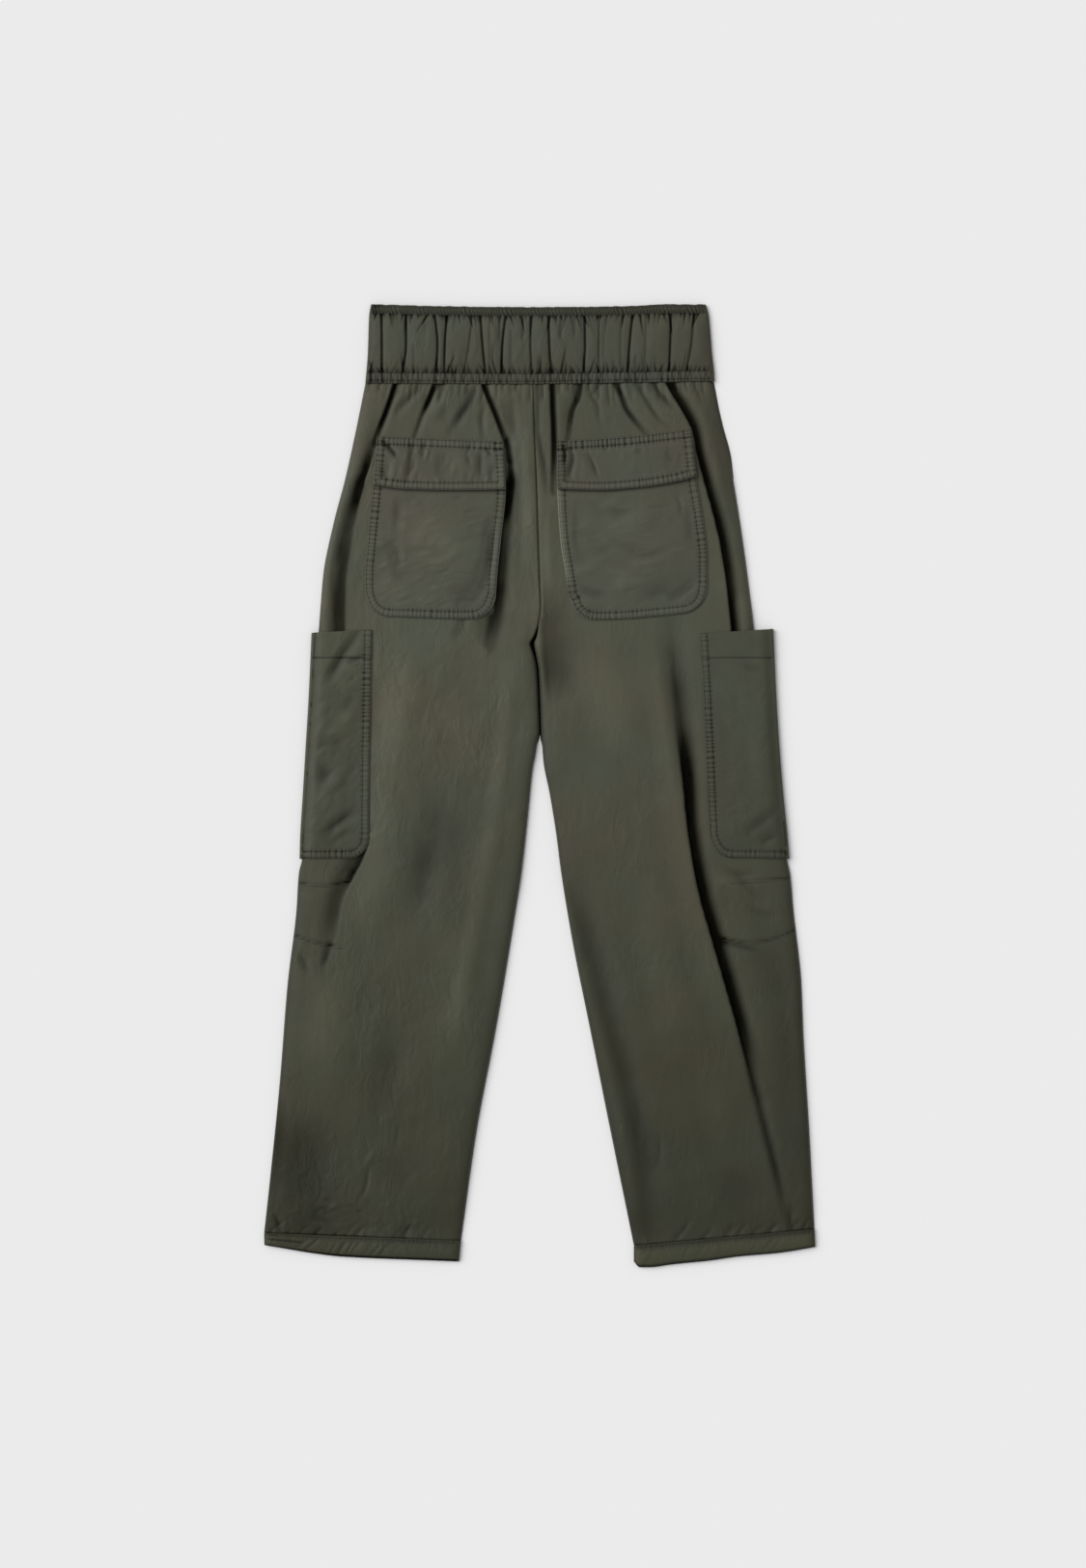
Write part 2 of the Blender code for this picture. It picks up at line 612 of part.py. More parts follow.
def flat_tube_section(spots, left, right, wall):
    """One row of a flattened ring, as outer and inner points, given its upper side's points."""
    outer = list(spots)
    inner = [(x, y, TUBE_HEIGHT - wall) for x, y, _ in spots]
    reach = TUBE_HEIGHT / 2

    def turn_down(edge, sign, angles):
        for angle in angles:
            turn = math.radians(angle)
            for points, radius in ((outer, reach), (inner, reach - wall)):
                x = edge[0] + sign * (radius * math.cos(turn) - reach)
                points.append((x, edge[1], reach + radius * math.sin(turn)))

    turn_down(right, 1, (45, 0, -45))
    for x, y, _ in spots[::-3]:
        outer.append((x, y, 0.0))
        inner.append((x, y, wall))
    turn_down(left, -1, (-45, 0, 45))
    return outer, inner


def gather_x(gather, down):
    """Where a gather crosses the band, from 0 at its top edge to 1 at its seam."""
    return along(((0.0, gather.top), (0.5, gather.middle), (1.0, gather.low)), down)


def band_y(x, down):
    """A height on the waistband, between its sagging top edge and the seam below it."""
    half = 0.5 * (BAND_RIGHT[0][1] - BAND_LEFT[0][1])
    top = BAND_TOP - BAND_SAG * max(1 - (x / half) ** 2, 0.0)
    side = "left" if x < LINES["left"]["inner"][0][1] else "right"
    seam = LEVELS[side][0]
    inner_x, outer_x = LINES[side]["inner"][0][1], LINES[side]["outer"][0][1]
    low = seam.inner + (seam.outer - seam.inner) * (x - inner_x) / (outer_x - inner_x) + GAP
    return top + down * (low - top)


def waistband(material):
    """The elastic band: a ring whose gathers are raised outside over a plain inside."""
    outer, inner = [], []
    for down, swell in BAND_ROWS:
        middle_y = band_y(0.0, down)
        left_x, right_x = along(BAND_LEFT, middle_y), along(BAND_RIGHT, middle_y)
        folds = [gather_x(gather, down) for gather in GATHERS]
        before = [left_x + BAND_CREST, *folds]
        crests = [(a + b) / 2 for a, b in zip(before, [*folds, right_x - BAND_CREST])]
        across = [(left_x + BAND_TURN, 1.0)]
        for gather, fold, start, end in zip(GATHERS, folds, crests, crests[1:]):
            across.append((fold + SHOULDER * (start - fold), 1 - FLANK * gather.depth))
            across.append((fold, 1 - gather.depth))
            across.append((fold + SHOULDER * (end - fold), 1 - FLANK * gather.depth))
            across.append((end, 1.0))
        across = [
            (x, TUBE_HEIGHT + swell * BAND_PUFF * puff * round_off(min(x - left_x, right_x - x)))
            for x, puff in across
        ]
        spots = [(x, band_y(x, down), z) for x, z in across]
        left, right = (left_x, band_y(left_x, down)), (right_x, band_y(right_x, down))
        out_row, in_row = flat_tube_section(spots, left, right, BAND_WALL)
        outer.append(out_row)
        inner.append(in_row)
    return tube("waistband", material, outer, inner)


def hem_spot(side, share, down):
    """A flat point of a hem, across from its inner side and down from its seam."""
    seam, lines, edge = LEVELS[side][-1], LINES[side], HEM_EDGE[side]
    x = lines["inner"][-1][1] + share * (lines["outer"][-1][1] - lines["inner"][-1][1])
    y = seam.inner + share * (seam.outer - seam.inner) - GAP
    low_x = edge[0][0] + share * (edge[-1][0] - edge[0][0])
    return x + down * (low_x - x), y + down * (along(edge, low_x) - y)


def hem(side, material):
    """The turned-up casing at the foot of a leg: a flat ring, slightly puffed and twisted."""
    outer, inner = [], []
    for down, swell in HEM_ROWS:
        spots = []
        for number in range(HEM_COLUMNS + 1):
            share = HEM_MARGIN + (1 - 2 * HEM_MARGIN) * number / HEM_COLUMNS
            x, y = hem_spot(side, share, down)
            wave = math.sin(2 * math.pi * (HEM_WAVES * share + down))
            wave = 1 - WAVE_SHARE + WAVE_SHARE * wave
            ends = smooth_step(0, 2 * HEM_MARGIN, share) * smooth_step(0, 2 * HEM_MARGIN, 1 - share)
            spots.append((x, y, TUBE_HEIGHT + HEM_PUFF * swell * wave * ends))
        ends = [hem_spot(side, 0.0, down), hem_spot(side, 1.0, down)]
        left, right = sorted(ends)
        out_row, in_row = flat_tube_section(sorted(spots), left, right, HEM_WALL)
        outer.append(out_row)
        inner.append(in_row)
    return tube(f"hem_{side}", material, outer, inner)


def cotton(name, red, green, blue):
    """A matt washed cotton of a given colour."""
    material = bpy.data.materials.new(name)
    material.use_nodes = True
    shader = material.node_tree.nodes["Principled BSDF"]
    shader.inputs["Base Color"].default_value = (red, green, blue, 1.0)
    shader.inputs["Roughness"].default_value = 0.85
    shader.inputs["Metallic"].default_value = 0.0
    return material


def clear_scene():
    """Removes whatever the scene starts with."""
    for item in list(bpy.data.objects):
        bpy.data.objects.remove(item, do_unlink=True)


def build_pants():
    """Every piece, from the waist down."""
    clear_scene()
    waistband(cotton("waistband cotton", 0.058, 0.058, 0.044))
    for side in ("left", "right"):
        points = back_points(side)
        back_leg(side, cotton(f"back {side} cotton", 0.076, 0.076, 0.055), points)
        front_leg(side, cotton(f"front {side} cotton", 0.074, 0.074, 0.054))
        back_pocket(side, cotton(f"pocket {side} cotton", 0.084, 0.084, 0.064), points)
        flap(side, cotton(f"flap {side} cotton", 0.080, 0.080, 0.060), points)
        cargo_pocket(side, cotton(f"cargo {side} cotton", 0.066, 0.068, 0.050), points)
        hem(side, cotton(f"hem {side} cotton", 0.060, 0.060, 0.045))


build_pants()
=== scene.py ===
# %% [markdown]
# # Cargo pants, laid flat
# These are soft cotton pants with an elastic waist, flapped back pockets, and cargo pockets that
# wrap round the side seams. They lie on their front, so the camera looks down on their back.
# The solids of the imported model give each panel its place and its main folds. Every visible panel
# is made again here as a thin sheet of cloth: a fine grid whose points are moved onto the panel's
# form, with the creases, puckers and stitches that cloth has.

# %% Load the model
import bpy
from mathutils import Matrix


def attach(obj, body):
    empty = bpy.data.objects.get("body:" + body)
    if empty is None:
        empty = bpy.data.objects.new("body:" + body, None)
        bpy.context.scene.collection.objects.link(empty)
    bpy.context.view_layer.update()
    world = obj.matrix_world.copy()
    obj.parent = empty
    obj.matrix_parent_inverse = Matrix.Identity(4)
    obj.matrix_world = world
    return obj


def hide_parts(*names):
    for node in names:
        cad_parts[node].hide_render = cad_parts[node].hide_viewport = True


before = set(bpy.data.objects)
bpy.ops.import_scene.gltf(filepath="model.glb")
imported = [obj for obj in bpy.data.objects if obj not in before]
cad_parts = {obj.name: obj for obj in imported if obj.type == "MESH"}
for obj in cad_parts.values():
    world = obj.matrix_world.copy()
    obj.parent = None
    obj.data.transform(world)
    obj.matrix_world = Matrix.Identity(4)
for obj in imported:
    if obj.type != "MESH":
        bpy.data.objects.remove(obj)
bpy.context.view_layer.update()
print("solids:", sorted(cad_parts))

# %% Tools and units
import math
from collections import namedtuple
from functools import partial

import bmesh
import bpy
import numpy as np
from mathutils import Matrix, Vector

MM = 0.001
SIDES = ("left", "right")
OUTWARDS = {"left": -1, "right": 1}  # the way from the middle to the outer edge of each leg
print("Blender", bpy.app.version_string)

# %% [markdown]
# ## Lines instead of lists of points
# A garment's outline is a few long lines. Each is written down as the points that a cutter would
# mark, in millimetres, and a smooth curve joins them. Two helpers do that: one reads a value off
# a line at any height, and one rounds a crease's points into a path.

# %% Curves and paths
def smooth_step(start, end, value):
    """0 before start, 1 past end, and a soft turn between them."""
    t = np.clip((value - start) / (end - start), 0.0, 1.0)
    return t * t * (3.0 - 2.0 * t)


def curve(points, at):
    """The second value of a table at some first values, on a curve that never overshoots."""
    known, values = np.array(sorted(points), float).T
    slopes = np.diff(values) / np.diff(known)
    before, after = slopes[:-1], slopes[1:]
    same_way = before * after > 0
    middle = np.where(same_way, 2 * before * after / np.where(same_way, before + after, 1), 0.0)
    tangents = np.concatenate((slopes[:1], middle, slopes[-1:]))
    at = np.clip(at, known[0], known[-1])
    k = np.clip(np.searchsorted(known, at, side="right") - 1, 0, len(known) - 2)
    span = known[k + 1] - known[k]
    t = (at - known[k]) / span
    return (
        values[k] * (1 + 2 * t) * (1 - t) ** 2
        + span * tangents[k] * t * (1 - t) ** 2
        + values[k + 1] * t * t * (3 - 2 * t)
        + span * tangents[k + 1] * t * t * (t - 1)
    )


def smooth_path(points, steps=6):
    """A line through some points, as a spline with a few steps between each two."""
    line = np.array(points, float)
    line = np.vstack((2 * line[0] - line[1], line, 2 * line[-1] - line[-2]))
    t = np.linspace(0, 1, steps, endpoint=False)[:, None]
    pieces = []
    for a, b, c, d in zip(line, line[1:], line[2:], line[3:]):
        square, cube = 2 * a - 5 * b + 4 * c - d, 3 * b - a - 3 * c + d
        pieces.append(0.5 * (2 * b + (c - a) * t + square * t**2 + cube * t**3))
    return np.vstack([*pieces, line[-2]])


def nearest_on(path, x, y):
    """How far points lie from a path, above zero on the right of one that runs down the page,
    how far along it their nearest spots are, and its whole length."""
    best = np.full(x.shape, np.inf)
    side = np.zeros(x.shape)
    run = np.zeros(x.shape)
    start = 0.0
    for (ax, ay), (bx, by) in zip(path, path[1:]):
        dx, dy = bx - ax, by - ay
        length = math.hypot(dx, dy)
        t = np.clip(((x - ax) * dx + (y - ay) * dy) / length**2, 0.0, 1.0)
        off_x, off_y = x - ax - t * dx, y - ay - t * dy
        square = off_x**2 + off_y**2
        closer = square < best
        best = np.where(closer, square, best)
        side = np.where(closer, dx * off_y - dy * off_x, side)
        run = np.where(closer, start + t * length, run)
        start += length
    return np.copysign(np.sqrt(best), side), run, start


corner = smooth_path(((0, 0), (0, 10), (10, 10)))
print("a corner of 3 points becomes a path of", len(corner))

# %% [markdown]
# ## Creases
# Cloth that is gathered, sat in or folded keeps soft ridges and troughs. They could be simulated,
# but then they would fall where the solver likes. Here each one is a line with a rise, a width on
# either side and a sharpness, so it can be put where the real one is. A sharp crease has a cusp
# along its line, as gathered cloth has between two swollen folds.

# %% Crease heights
Crease = namedtuple("Crease", "points rise before after sharp top foot lap gloom")
TONE_OF_RISE = 0.36  # painted light: how much paler a ridge, and darker a trough, is painted for each millimetre of rise
DEEPEST_TONE, DEEP = 1.9, 3.0  # how dark the painted shade in a trough gets, and the depth from which it is so
LONGEST_END, END_SHARE = 90.0, 0.45  # the most of a crease's length over which its end fades
DARK_FLOOR = 1.6  # above 1, the darkest part of a lapped fold's painted shade has some width
DARK_EDGE, DARK_FALL = 1.5, 1.2  # how far the painted shade passes a fold's wall, and how fast it fades
LAP_REACH = 22.0  # how far from a lapped fold the cloth is drawn over
WAVES = 7  # how many waves make an uneven surface


def crease(points, rise, before, after=None, sharp=0.0, top=0.0, foot=0.0, lap=0.0, gloom=0.0):
    """A ridge, or a trough if its rise is below zero. top and foot say how strong its ends are.
    lap draws the cloth on its right over the trough, or the cloth on its left if below zero.
    gloom is how far a fold's painted shade reaches into the trough."""
    after = before if after is None else after
    return Crease(points, rise, before, after, sharp, top, foot, lap, gloom)


def creased(x, y, items):
    """What some creases do together: how far they lift points, how pale or dark the cloth is painted
    there, as light and shade, and how far they push points to the right."""
    total = np.zeros((3, *x.shape))
    for item in items:
        path = smooth_path(item.points)
        wall = item.after if item.lap > 0 else item.before
        reach = max(item.before, item.after, (wall + LAP_REACH) * bool(item.lap), item.gloom)
        low, high = path.min(axis=0) - reach, path.max(axis=0) + reach
        near = (x > low[0]) & (x < high[0]) & (y > low[1]) & (y < high[1])
        distance, run, length = nearest_on(path, x[near], y[near])
        share = np.minimum(np.abs(distance) / np.where(distance < 0, item.before, item.after), 1.0)
        end = min(END_SHARE * length, LONGEST_END)
        fade = item.top + (1 - item.top) * smooth_step(0, end, run)
        fade *= item.foot + (1 - item.foot) * smooth_step(0, end, length - run)
        strength = (1 - share) ** 2 * (1 + 2 * share * (1 - item.sharp)) * fade
        total[0][near] += item.rise * strength
        # With gloom, the bottom of a trough and the foot of a lapped fold get painted shade.
        if item.gloom:
            over = distance if item.lap > 0 else -distance
            drawn = smooth_step(0, wall, over) * smooth_step(wall + LAP_REACH, wall, over) * fade
            total[2][near] -= item.lap * drawn
            across = np.where(over > 0, wall + DARK_EDGE, item.gloom) if item.lap else item.gloom
            dark = (DARK_FLOOR if item.lap else 1.0) * (1 - np.abs(distance) / across)
            deep = DEEPEST_TONE * min(1.0, abs(item.rise) / DEEP)
            total[1][near] -= deep * np.clip(dark, 0, 1) ** DARK_FALL * fade
        else:
            # Without gloom, a ridge is painted paler and a trough darker, as light and shade.
            total[1][near] += TONE_OF_RISE * item.rise * strength
    return total


def ripple(x, y, length, seed):
    """A soft uneven surface between about -1 and 1, with swells of about a given length."""
    random = np.random.default_rng(seed)
    total = np.zeros(np.broadcast(x, y).shape)
    for _ in range(WAVES):
        angle = random.uniform(0, 2 * math.pi)
        wave = 2 * math.pi / (length * random.uniform(0.7, 1.5))
        phase = random.uniform(0, 2 * math.pi)
        total = total + np.sin(wave * (x * math.cos(angle) + y * math.sin(angle)) + phase)
    return total / (WAVES / 2)


ridge = crease(((0, 0), (0, 20)), 3.0, 4.0)
print("a 3 mm ridge, 0, 1, 2 and 4 mm off:", creased(np.array((0, 1, 2, 4)), np.full(4, 10), [ridge])[0])

# %% [markdown]
# ## The legs' lines
# The inner and outer edges of each leg, as they lie, and the sides of the pockets. Each point is
# (y, x): the height above the middle of the garment, and where the line crosses it. The mouth,
# foot and top of a back pocket are heights across it, from its left side to its right one.

# %% Outlines
LEG_EDGES = {
    "left": {
        "inner": (
            (415, -7.5), (354, -5.5), (304, -3.5), (212, -0.5), (184, 0.5), (169, -1.5),
            (154, -6.5), (147, -10.5), (143, -9.5), (135, -6.5), (119, -3.5), (87, -1.8), (55, -0.7),
            (47, -2.5), (31, -5), (15, -8),
            (-29, -12.5), (-84, -18.5), (-156, -29.5), (-256, -46.5), (-356, -65.5), (-471, -82),
        ),
        "outer": (
            (416, -181), (369, -190.5), (319, -201.5), (269, -214.5), (219, -224.5),
            (169, -228.5), (114, -233), (49, -239), (-46, -244.8), (-75, -246.2), (-91, -249.7),
            (-131, -252.5), (-206, -261.5), (-306, -269.5), (-406, -279.5), (-463, -285.7),
        ),
    },
    "right": {
        "inner": (
            (415, -7.2), (354, -5.2), (304, -3.2), (212, -0.2), (184, 0.8), (169, -1.0),
            (154, -3.5), (147, -6), (135, -4), (127, -2.5), (119, -1.2), (87, 0.2), (55, 1.2), (39, 2.3),
            (24, 3.5), (-8, 9.8),
            (-52, 16.9), (-84, 20.9), (-156, 32.5), (-256, 52.5), (-356, 72.5), (-476, 97),
        ),
        "outer": (
            (418, 177.5), (392, 182.5), (371, 187.5), (344, 195), (319, 199.5), (269, 207.5),
            (219, 214.5), (169, 220.5), (124, 224.5), (49, 234.5), (-46, 251.6), (-75, 255.1),
            (-91, 258.5), (-131, 262.5), (-206, 270.5), (-256, 272.5), (-356, 278.5), (-459, 284),
        ),
    },
}
# (inner y, outer y) of each leg's seam to the waistband, and of its seam to the hem.
LEG_ENDS = {"left": ((415, 416), (-471, -463)), "right": ((415, 418), (-476, -459))}
# How far the right front stands out past the back, where its side pocket opens.
SIDE_POCKET = ((418, 2.5), (392, 2.3), (344, 2.0), (325, 1.0), (310, 0.2))
CARGO_EDGES = {
    "left": ((162, -173.5), (-46, -176.5), (-75, -176.5)),
    "right": ((162, 164.5), (114, 167.5), (44, 171), (-51, 175.5), (-75, 177)),
}
CARGO_OUTER = {
    "left": ((161, -236.5), (94, -239.5), (44, -242.5), (-6, -245.5), (-56, -248.5), (-75, -249)),
    "right": ((161, 241.5), (94, 244.5), (44, 247.5), (-6, 251.5), (-56, 256.5), (-75, 258)),
}
Bag = namedtuple("Bag", "left right mouth foot top")
BAGS = {
    "left": Bag(
        left=((361, -168.5), (311, -172.5), (254, -178), (214, -181), (174, -179.5)),
        right=((355, -38), (334, -36.5), (306, -35.5), (254, -40.5), (214, -44.5), (171, -47)),
        mouth=(347, 342),
        foot=((0, 174.5), (0.35, 173.2), (0.7, 171.8), (1, 172)),
        top=((0, 361), (1, 355.6)),
    ),
    "right": Bag(
        left=((355, 17.3), (305, 17.8), (254, 20.8), (212, 27.5), (173, 32.5)),
        right=((368, 156.5), (318, 162), (274, 169), (234, 173), (194, 173), (178, 171.5)),
        mouth=(341, 354),
        foot=((0, 170.5), (0.3, 171), (0.7, 175.5), (1, 180.5)),
        top=((0, 355.8), (0.5, 360.5), (1, 368.3)),
    ),
}
FLAP_FOOT = {
    "left": ((0, 310.5), (0.25, 306), (0.6, 304.8), (1, 305.6)),
    "right": ((0, 306.3), (0.3, 304.8), (0.58, 307.6), (0.85, 313.6), (1, 319)),
}
print("leg edges' points:", sum(len(line) for edges in LEG_EDGES.values() for line in edges.values()))

# %% [markdown]
# ## The folds of each leg
# The waistband's elastic pulls the seat into long folds that die out over the pockets. The legs
# have a few broad swells, and a long fold runs down the right leg where it was laid over itself.
# A positive rise is a ridge. Widths are to the viewer's left and right of a line that runs down.

# %% Knee seams
# Two seams cross the outer half of each leg, below the cargo pocket and at the knee.
KNEE_SEAMS = {
    "left": (
        ((-248, -101), (-221, -103), (-196, -99)),
        ((-253, -155), (-235, -161), (-218, -165), (-203, -167)),
    ),
    "right": (
        ((197, -100), (228, -98), (259, -95)),
        ((188, -158), (215, -162), (240, -159), (264, -149)),
    ),
}


def knee_seam(line):
    """The groove of a knee seam."""
    return crease(line, -1.2, 2.4, sharp=1.0, top=1.0, foot=1.0, gloom=1.8)


print("knee seams:", {side: len(lines) for side, lines in KNEE_SEAMS.items()})

# %% Folds of the seat
# The seat's own folds cross from one half to the other: on the right of the left pocket the cloth
# drops to a low strip along the centre seam, which sinks again beside the right pocket.
SEAT_FOLDS = (
    crease(((-62, 420), (-56, 404), (-50, 390), (-42, 369), (-36.5, 354), (-33, 336)),
           -3.2, 2.6, 14, sharp=0.3, top=1.0, foot=0.3, lap=-2.0, gloom=7),
    crease(((-44, 404), (-36, 388), (-30, 366), (-28, 345)), -1.5, 7, 11),
    crease(((-35, 356), (-33, 342), (-32, 318), (-34.5, 290), (-38, 262)),
           -3.2, 3, 9, top=0.4, gloom=7, lap=-0.5),
    crease(((-32, 312), (-37, 274), (-40, 254), (-43.5, 214), (-47, 180), (-53, 146)),
           -2.4, 7, 16, top=0.7, foot=0.4, gloom=16, lap=-0.3),
    crease(((-46, 200), (-52, 164), (-60, 138)), -1.8, 20, 20, top=0.6),
    crease(((-29, 414), (-28, 385), (-24, 350)), -0.9, 6, 7, sharp=0.3),
    crease(((11.5, 420), (12, 392), (13, 372), (13.5, 340), (13, 304)),
           -3.2, 2.6, 8, sharp=0.5, top=1.0, foot=0.4, lap=-0.8, gloom=7),
    crease(((-2, 420), (-2.5, 390), (-2.5, 369), (0, 352), (6, 318), (9, 280)),
           -1.7, 6, 5, sharp=0.3, top=0.9, gloom=6),
    crease(((-14, 410), (-12, 340), (-8, 260), (-6, 190)), 1.3, 14, 7, sharp=0.2),
    crease(((8, 300), (9, 250), (12, 190)), 0.9, 7, 9),
    crease(((-20, 330), (-21, 260), (-22, 200)), -0.5, 5, 6),
)
print("folds of the seat:", len(SEAT_FOLDS))

# %% Folds of each leg
FOLDS = {
    "left": (
        # From the waistband down to the pocket, then past it to the cargo pocket.
        crease(((-150, 420), (-152.5, 409), (-159, 390), (-166, 371), (-172, 354)),
               -3.4, 2.8, 9, sharp=0.4, top=1.0, foot=0.35, lap=-1.2, gloom=6),
        crease(((-165, 372), (-171, 352), (-176, 334), (-182, 314), (-189, 292), (-195, 270)),
               -3.4, 14, 2.6, sharp=0.5, top=0.15, foot=0.1, lap=1.8, gloom=12),
        crease(((-184, 308), (-193, 282), (-199, 254), (-205, 214), (-206, 174), (-206, 150)),
               -2.3, 18, 8, sharp=0.2, top=0.5, foot=1.0, lap=0.8, gloom=17),
        crease(((-206, 244), (-210.5, 216), (-212, 190)), 0.9, 4),
        # Down to the flap.
        crease(((-107, 424), (-111, 410), (-118, 393), (-123, 380)),
               -2.3, 3, 14, sharp=0.4, top=1.0, lap=-0.6, gloom=5),
        crease(((-111, 410), (-118, 393), (-124, 378), (-131, 358)),
               -1.9, 3, 8, sharp=0.4, top=1.0, foot=0.6, gloom=4),
        crease(((-71, 408), (-75, 394), (-83, 382), (-92, 366)),
               -2.0, 6, 9, sharp=0.3, top=0.6, foot=0.3, gloom=8),
        crease(((-126, 412), (-136, 401), (-146, 390), (-154, 377)), -1.3, 6, 9, top=0.4, gloom=6),
        crease(((-60, 396), (-61.5, 378), (-59, 358)), -1.4, 4, 5, sharp=0.3, top=0.4, foot=0.5, gloom=3.5),
        crease(((-101, 420), (-103, 406), (-107, 391)), -1.8, 3.5, 5, top=1.0, gloom=4),
        crease(((-92, 396), (-99, 384), (-106, 372)), -1.0, 9, 10),
        # Below the cargo pocket.
        crease(((-179, -60), (-186, -78), (-195, -94), (-206, -118), (-212, -150), (-220, -186)),
               -1.6, 20, 3, sharp=0.2, top=1.0, foot=0.3, lap=0.5, gloom=23),
        crease(((-178, -58), (-186, -78), (-195, -94), (-203, -112)), -1.5, 7, 3, top=1.0, gloom=6),
        crease(((-217, -164), (-221, -178), (-225, -192)), -1.6, 6, 3, top=0.8, gloom=6),
        crease(((-252, -170), (-245, -182), (-237, -200)), -1.3, 6, gloom=6),
        *map(knee_seam, KNEE_SEAMS["left"]),
        crease(((-252, -112), (-226, -120)), 0.5, 7),
        # The leg's broad swells.
        crease(((-135, 150), (-145, 80), (-158, 0), (-166, -60), (-176, -140), (-186, -190)),
               1.9, 30, 28, top=0.3),
        crease(((-98, 40), (-108, -30), (-118, -90), (-124, -150)), -1.5, 30, 34),
        crease(((-116, -50), (-122, -100), (-126, -146)), -1.0, 26, 24),
        crease(((-80, 172), (-82, 162), (-84, 148)), -1.3, 9, 9, top=1.0),
        crease(((-70, 20), (-86, -90), (-94, -170)), -1.1, 22, 20),
        crease(((-30, 120), (-42, 0), (-58, -100), (-80, -220), (-92, -290)), 1.2, 16, 15, top=0.5),
        crease(((-212, -170), (-220, -250), (-228, -330)), 1.9, 46, 38, top=0.2, foot=0.2),
        crease(((-268, -310), (-250, -390), (-240, -458)), -2.2, 50, 62, foot=0.8),
        crease(((-150, -230), (-158, -300), (-172, -370)), -1.4, 30, 30),
        crease(((-90, -110), (-84, -226), (-96, -340)), 1.1, 46, 32, top=0.2, foot=0.2),
        crease(((-140, -370), (-150, -430)), -0.8, 28, 26),
        crease(((-145, -346), (-150, -378)), -0.9, 3, sharp=0.5),
        crease(((-177, -386), (-181, -417), (-190, -431)), -1.5, 2.6, 4, sharp=0.6, gloom=2.5),
        crease(((-166, -372), (-176, -386), (-184, -404)), 0.8, 5),
        crease(((-129, -449), (-136, -457), (-143, -466)), -1.4, 2.6, 4, gloom=2.4, foot=0.8),
        crease(((-120, -450), (-130, -453), (-140, -458)), 0.7, 5),
        crease(((-182, -441), (-190, -440)), -1.0, 3, gloom=2.5),
        crease(((-210, -456), (-230, -448), (-242, -452)), -0.8, 5),
        crease(((-276, -440), (-272, -452), (-268, -462)), -1.4, 4, gloom=3, foot=0.7),
        crease(((-268, -444), (-262, -456)), 0.8, 4),
    ),
    "right": (
        # Down to the flap.
        crease(((42, 420), (40, 402), (34, 389), (31, 372), (29, 354)),
               -2.4, 13, 4, sharp=0.4, top=1.0, foot=0.6, lap=1.0, gloom=6),
        crease(((65, 418), (54, 404), (59, 394), (61, 379), (67, 366)),
               -1.3, 4, 6, sharp=0.4, top=0.8, gloom=3),
        crease(((76, 420), (84, 402), (89, 389), (98, 377), (111, 362)),
               -2.2, 3, 11, sharp=0.4, top=1.0, foot=0.4, lap=-0.6, gloom=5),
        crease(((99, 416), (110, 398), (122, 380), (133, 370)),
               -1.5, 3.5, 8, sharp=0.3, top=0.8, foot=0.3, gloom=3.5),
        crease(((113, 420), (125, 402), (141, 385)), -1.6, 3.5, 8, sharp=0.3, top=1.0, gloom=4),
        # From the waistband past the pocket to the cargo pocket.
        crease(((127, 422), (137, 404), (149, 384), (157, 367), (162, 342), (171, 309), (178, 284),
                (185.5, 252), (192, 212), (198.5, 150)),
               -3.6, 2.6, 20, sharp=0.3, top=1.0, foot=1.0, lap=-3.0, gloom=13.5),
        crease(((163, 412), (178, 380), (190, 330), (200, 260), (208, 200)), -1.5, 15, 13, top=0.5, foot=0.6),
        # The long fold, whose left side lies over a trough.
        crease(((134, 178), (137, 130), (144, 74), (149, 34), (152, -6), (157, -50)),
               -2.2, 18, 24, sharp=0.2, top=0.3, gloom=18),
        crease(((133, 150), (135, 104), (138, 60), (146, -36), (152, -76), (160, -116), (170, -151),
                (183, -196), (198, -248), (212, -296)), 1.2, 28, 4),
        crease(((142, 72), (147, 14), (151, -36), (157, -76), (165, -116), (175, -151),
               (188, -196), (203, -248), (217, -296), (223, -320)),
               -4.0, 3, 22, sharp=0.4, foot=0.1, lap=-3.4, gloom=19),
        crease(((197, -228), (217, -296), (233, -356), (246, -408), (261, -470)),
               -1.9, 5, 12, sharp=0.4, gloom=9),
        crease(((180, -158), (200, -164), (222, -170), (236, -174)), -1.5, 3, 8, sharp=0.3, top=0.9, gloom=6),
        crease(((226, -120), (252, -250), (266, -400)), -1.2, 26, 22, top=0.5, foot=0.5),
        crease(((178, -95), (192, -100), (214, -104)), 0.9, 7),
        crease(((186, -84), (206, -92), (230, -90)), -1.1, 6),
        crease(((196, -84), (214, -104), (236, -126)), -0.9, 6, 8),
        crease(((210, -120), (228, -132), (250, -138)), -0.9, 7),
        *map(knee_seam, KNEE_SEAMS["right"]),
        crease(((246, -60), (262, -110), (268, -200), (274, -300)), -0.8, 30, 22, top=0.8, foot=0.4),
        # The leg's broad swells.
        crease(((5, 170), (8, 122), (14, 74)), -2.6, 7, 46, top=0.8),
        crease(((56, 150), (74, 80), (86, 10)), 1.1, 34, 36),
        crease(((30, -70), (46, -150), (66, -226), (90, -316), (104, -386), (111, -460)),
               -2.0, 14, 26, foot=0.7),
        crease(((104, -60), (126, -180), (152, -290)), 0.9, 32, 30),
        crease(((176, -300), (196, -400)), 0.6, 24, 24),
        crease(((200, -380), (212, -456)), -1.1, 40, 34),
        crease(((120, -350), (124, -380), (118, -410)), -0.6, 8),
        crease(((140, -470), (150, -458), (156, -446)), -1.1, 3, 4, top=0.8, gloom=2.4),
        crease(((168, -470), (180, -456)), -1.0, 3, 5, top=0.8, gloom=2.4),
        crease(((264, -464), (258, -450), (262, -430)), -1.0, 7, 6, top=0.8, gloom=5),
        crease(((238, -462), (246, -450)), -1.0, 3, 4, top=0.8, gloom=2.5),
    ),
}
print("folds of the legs:", {side: len(folds) for side, folds in FOLDS.items()})

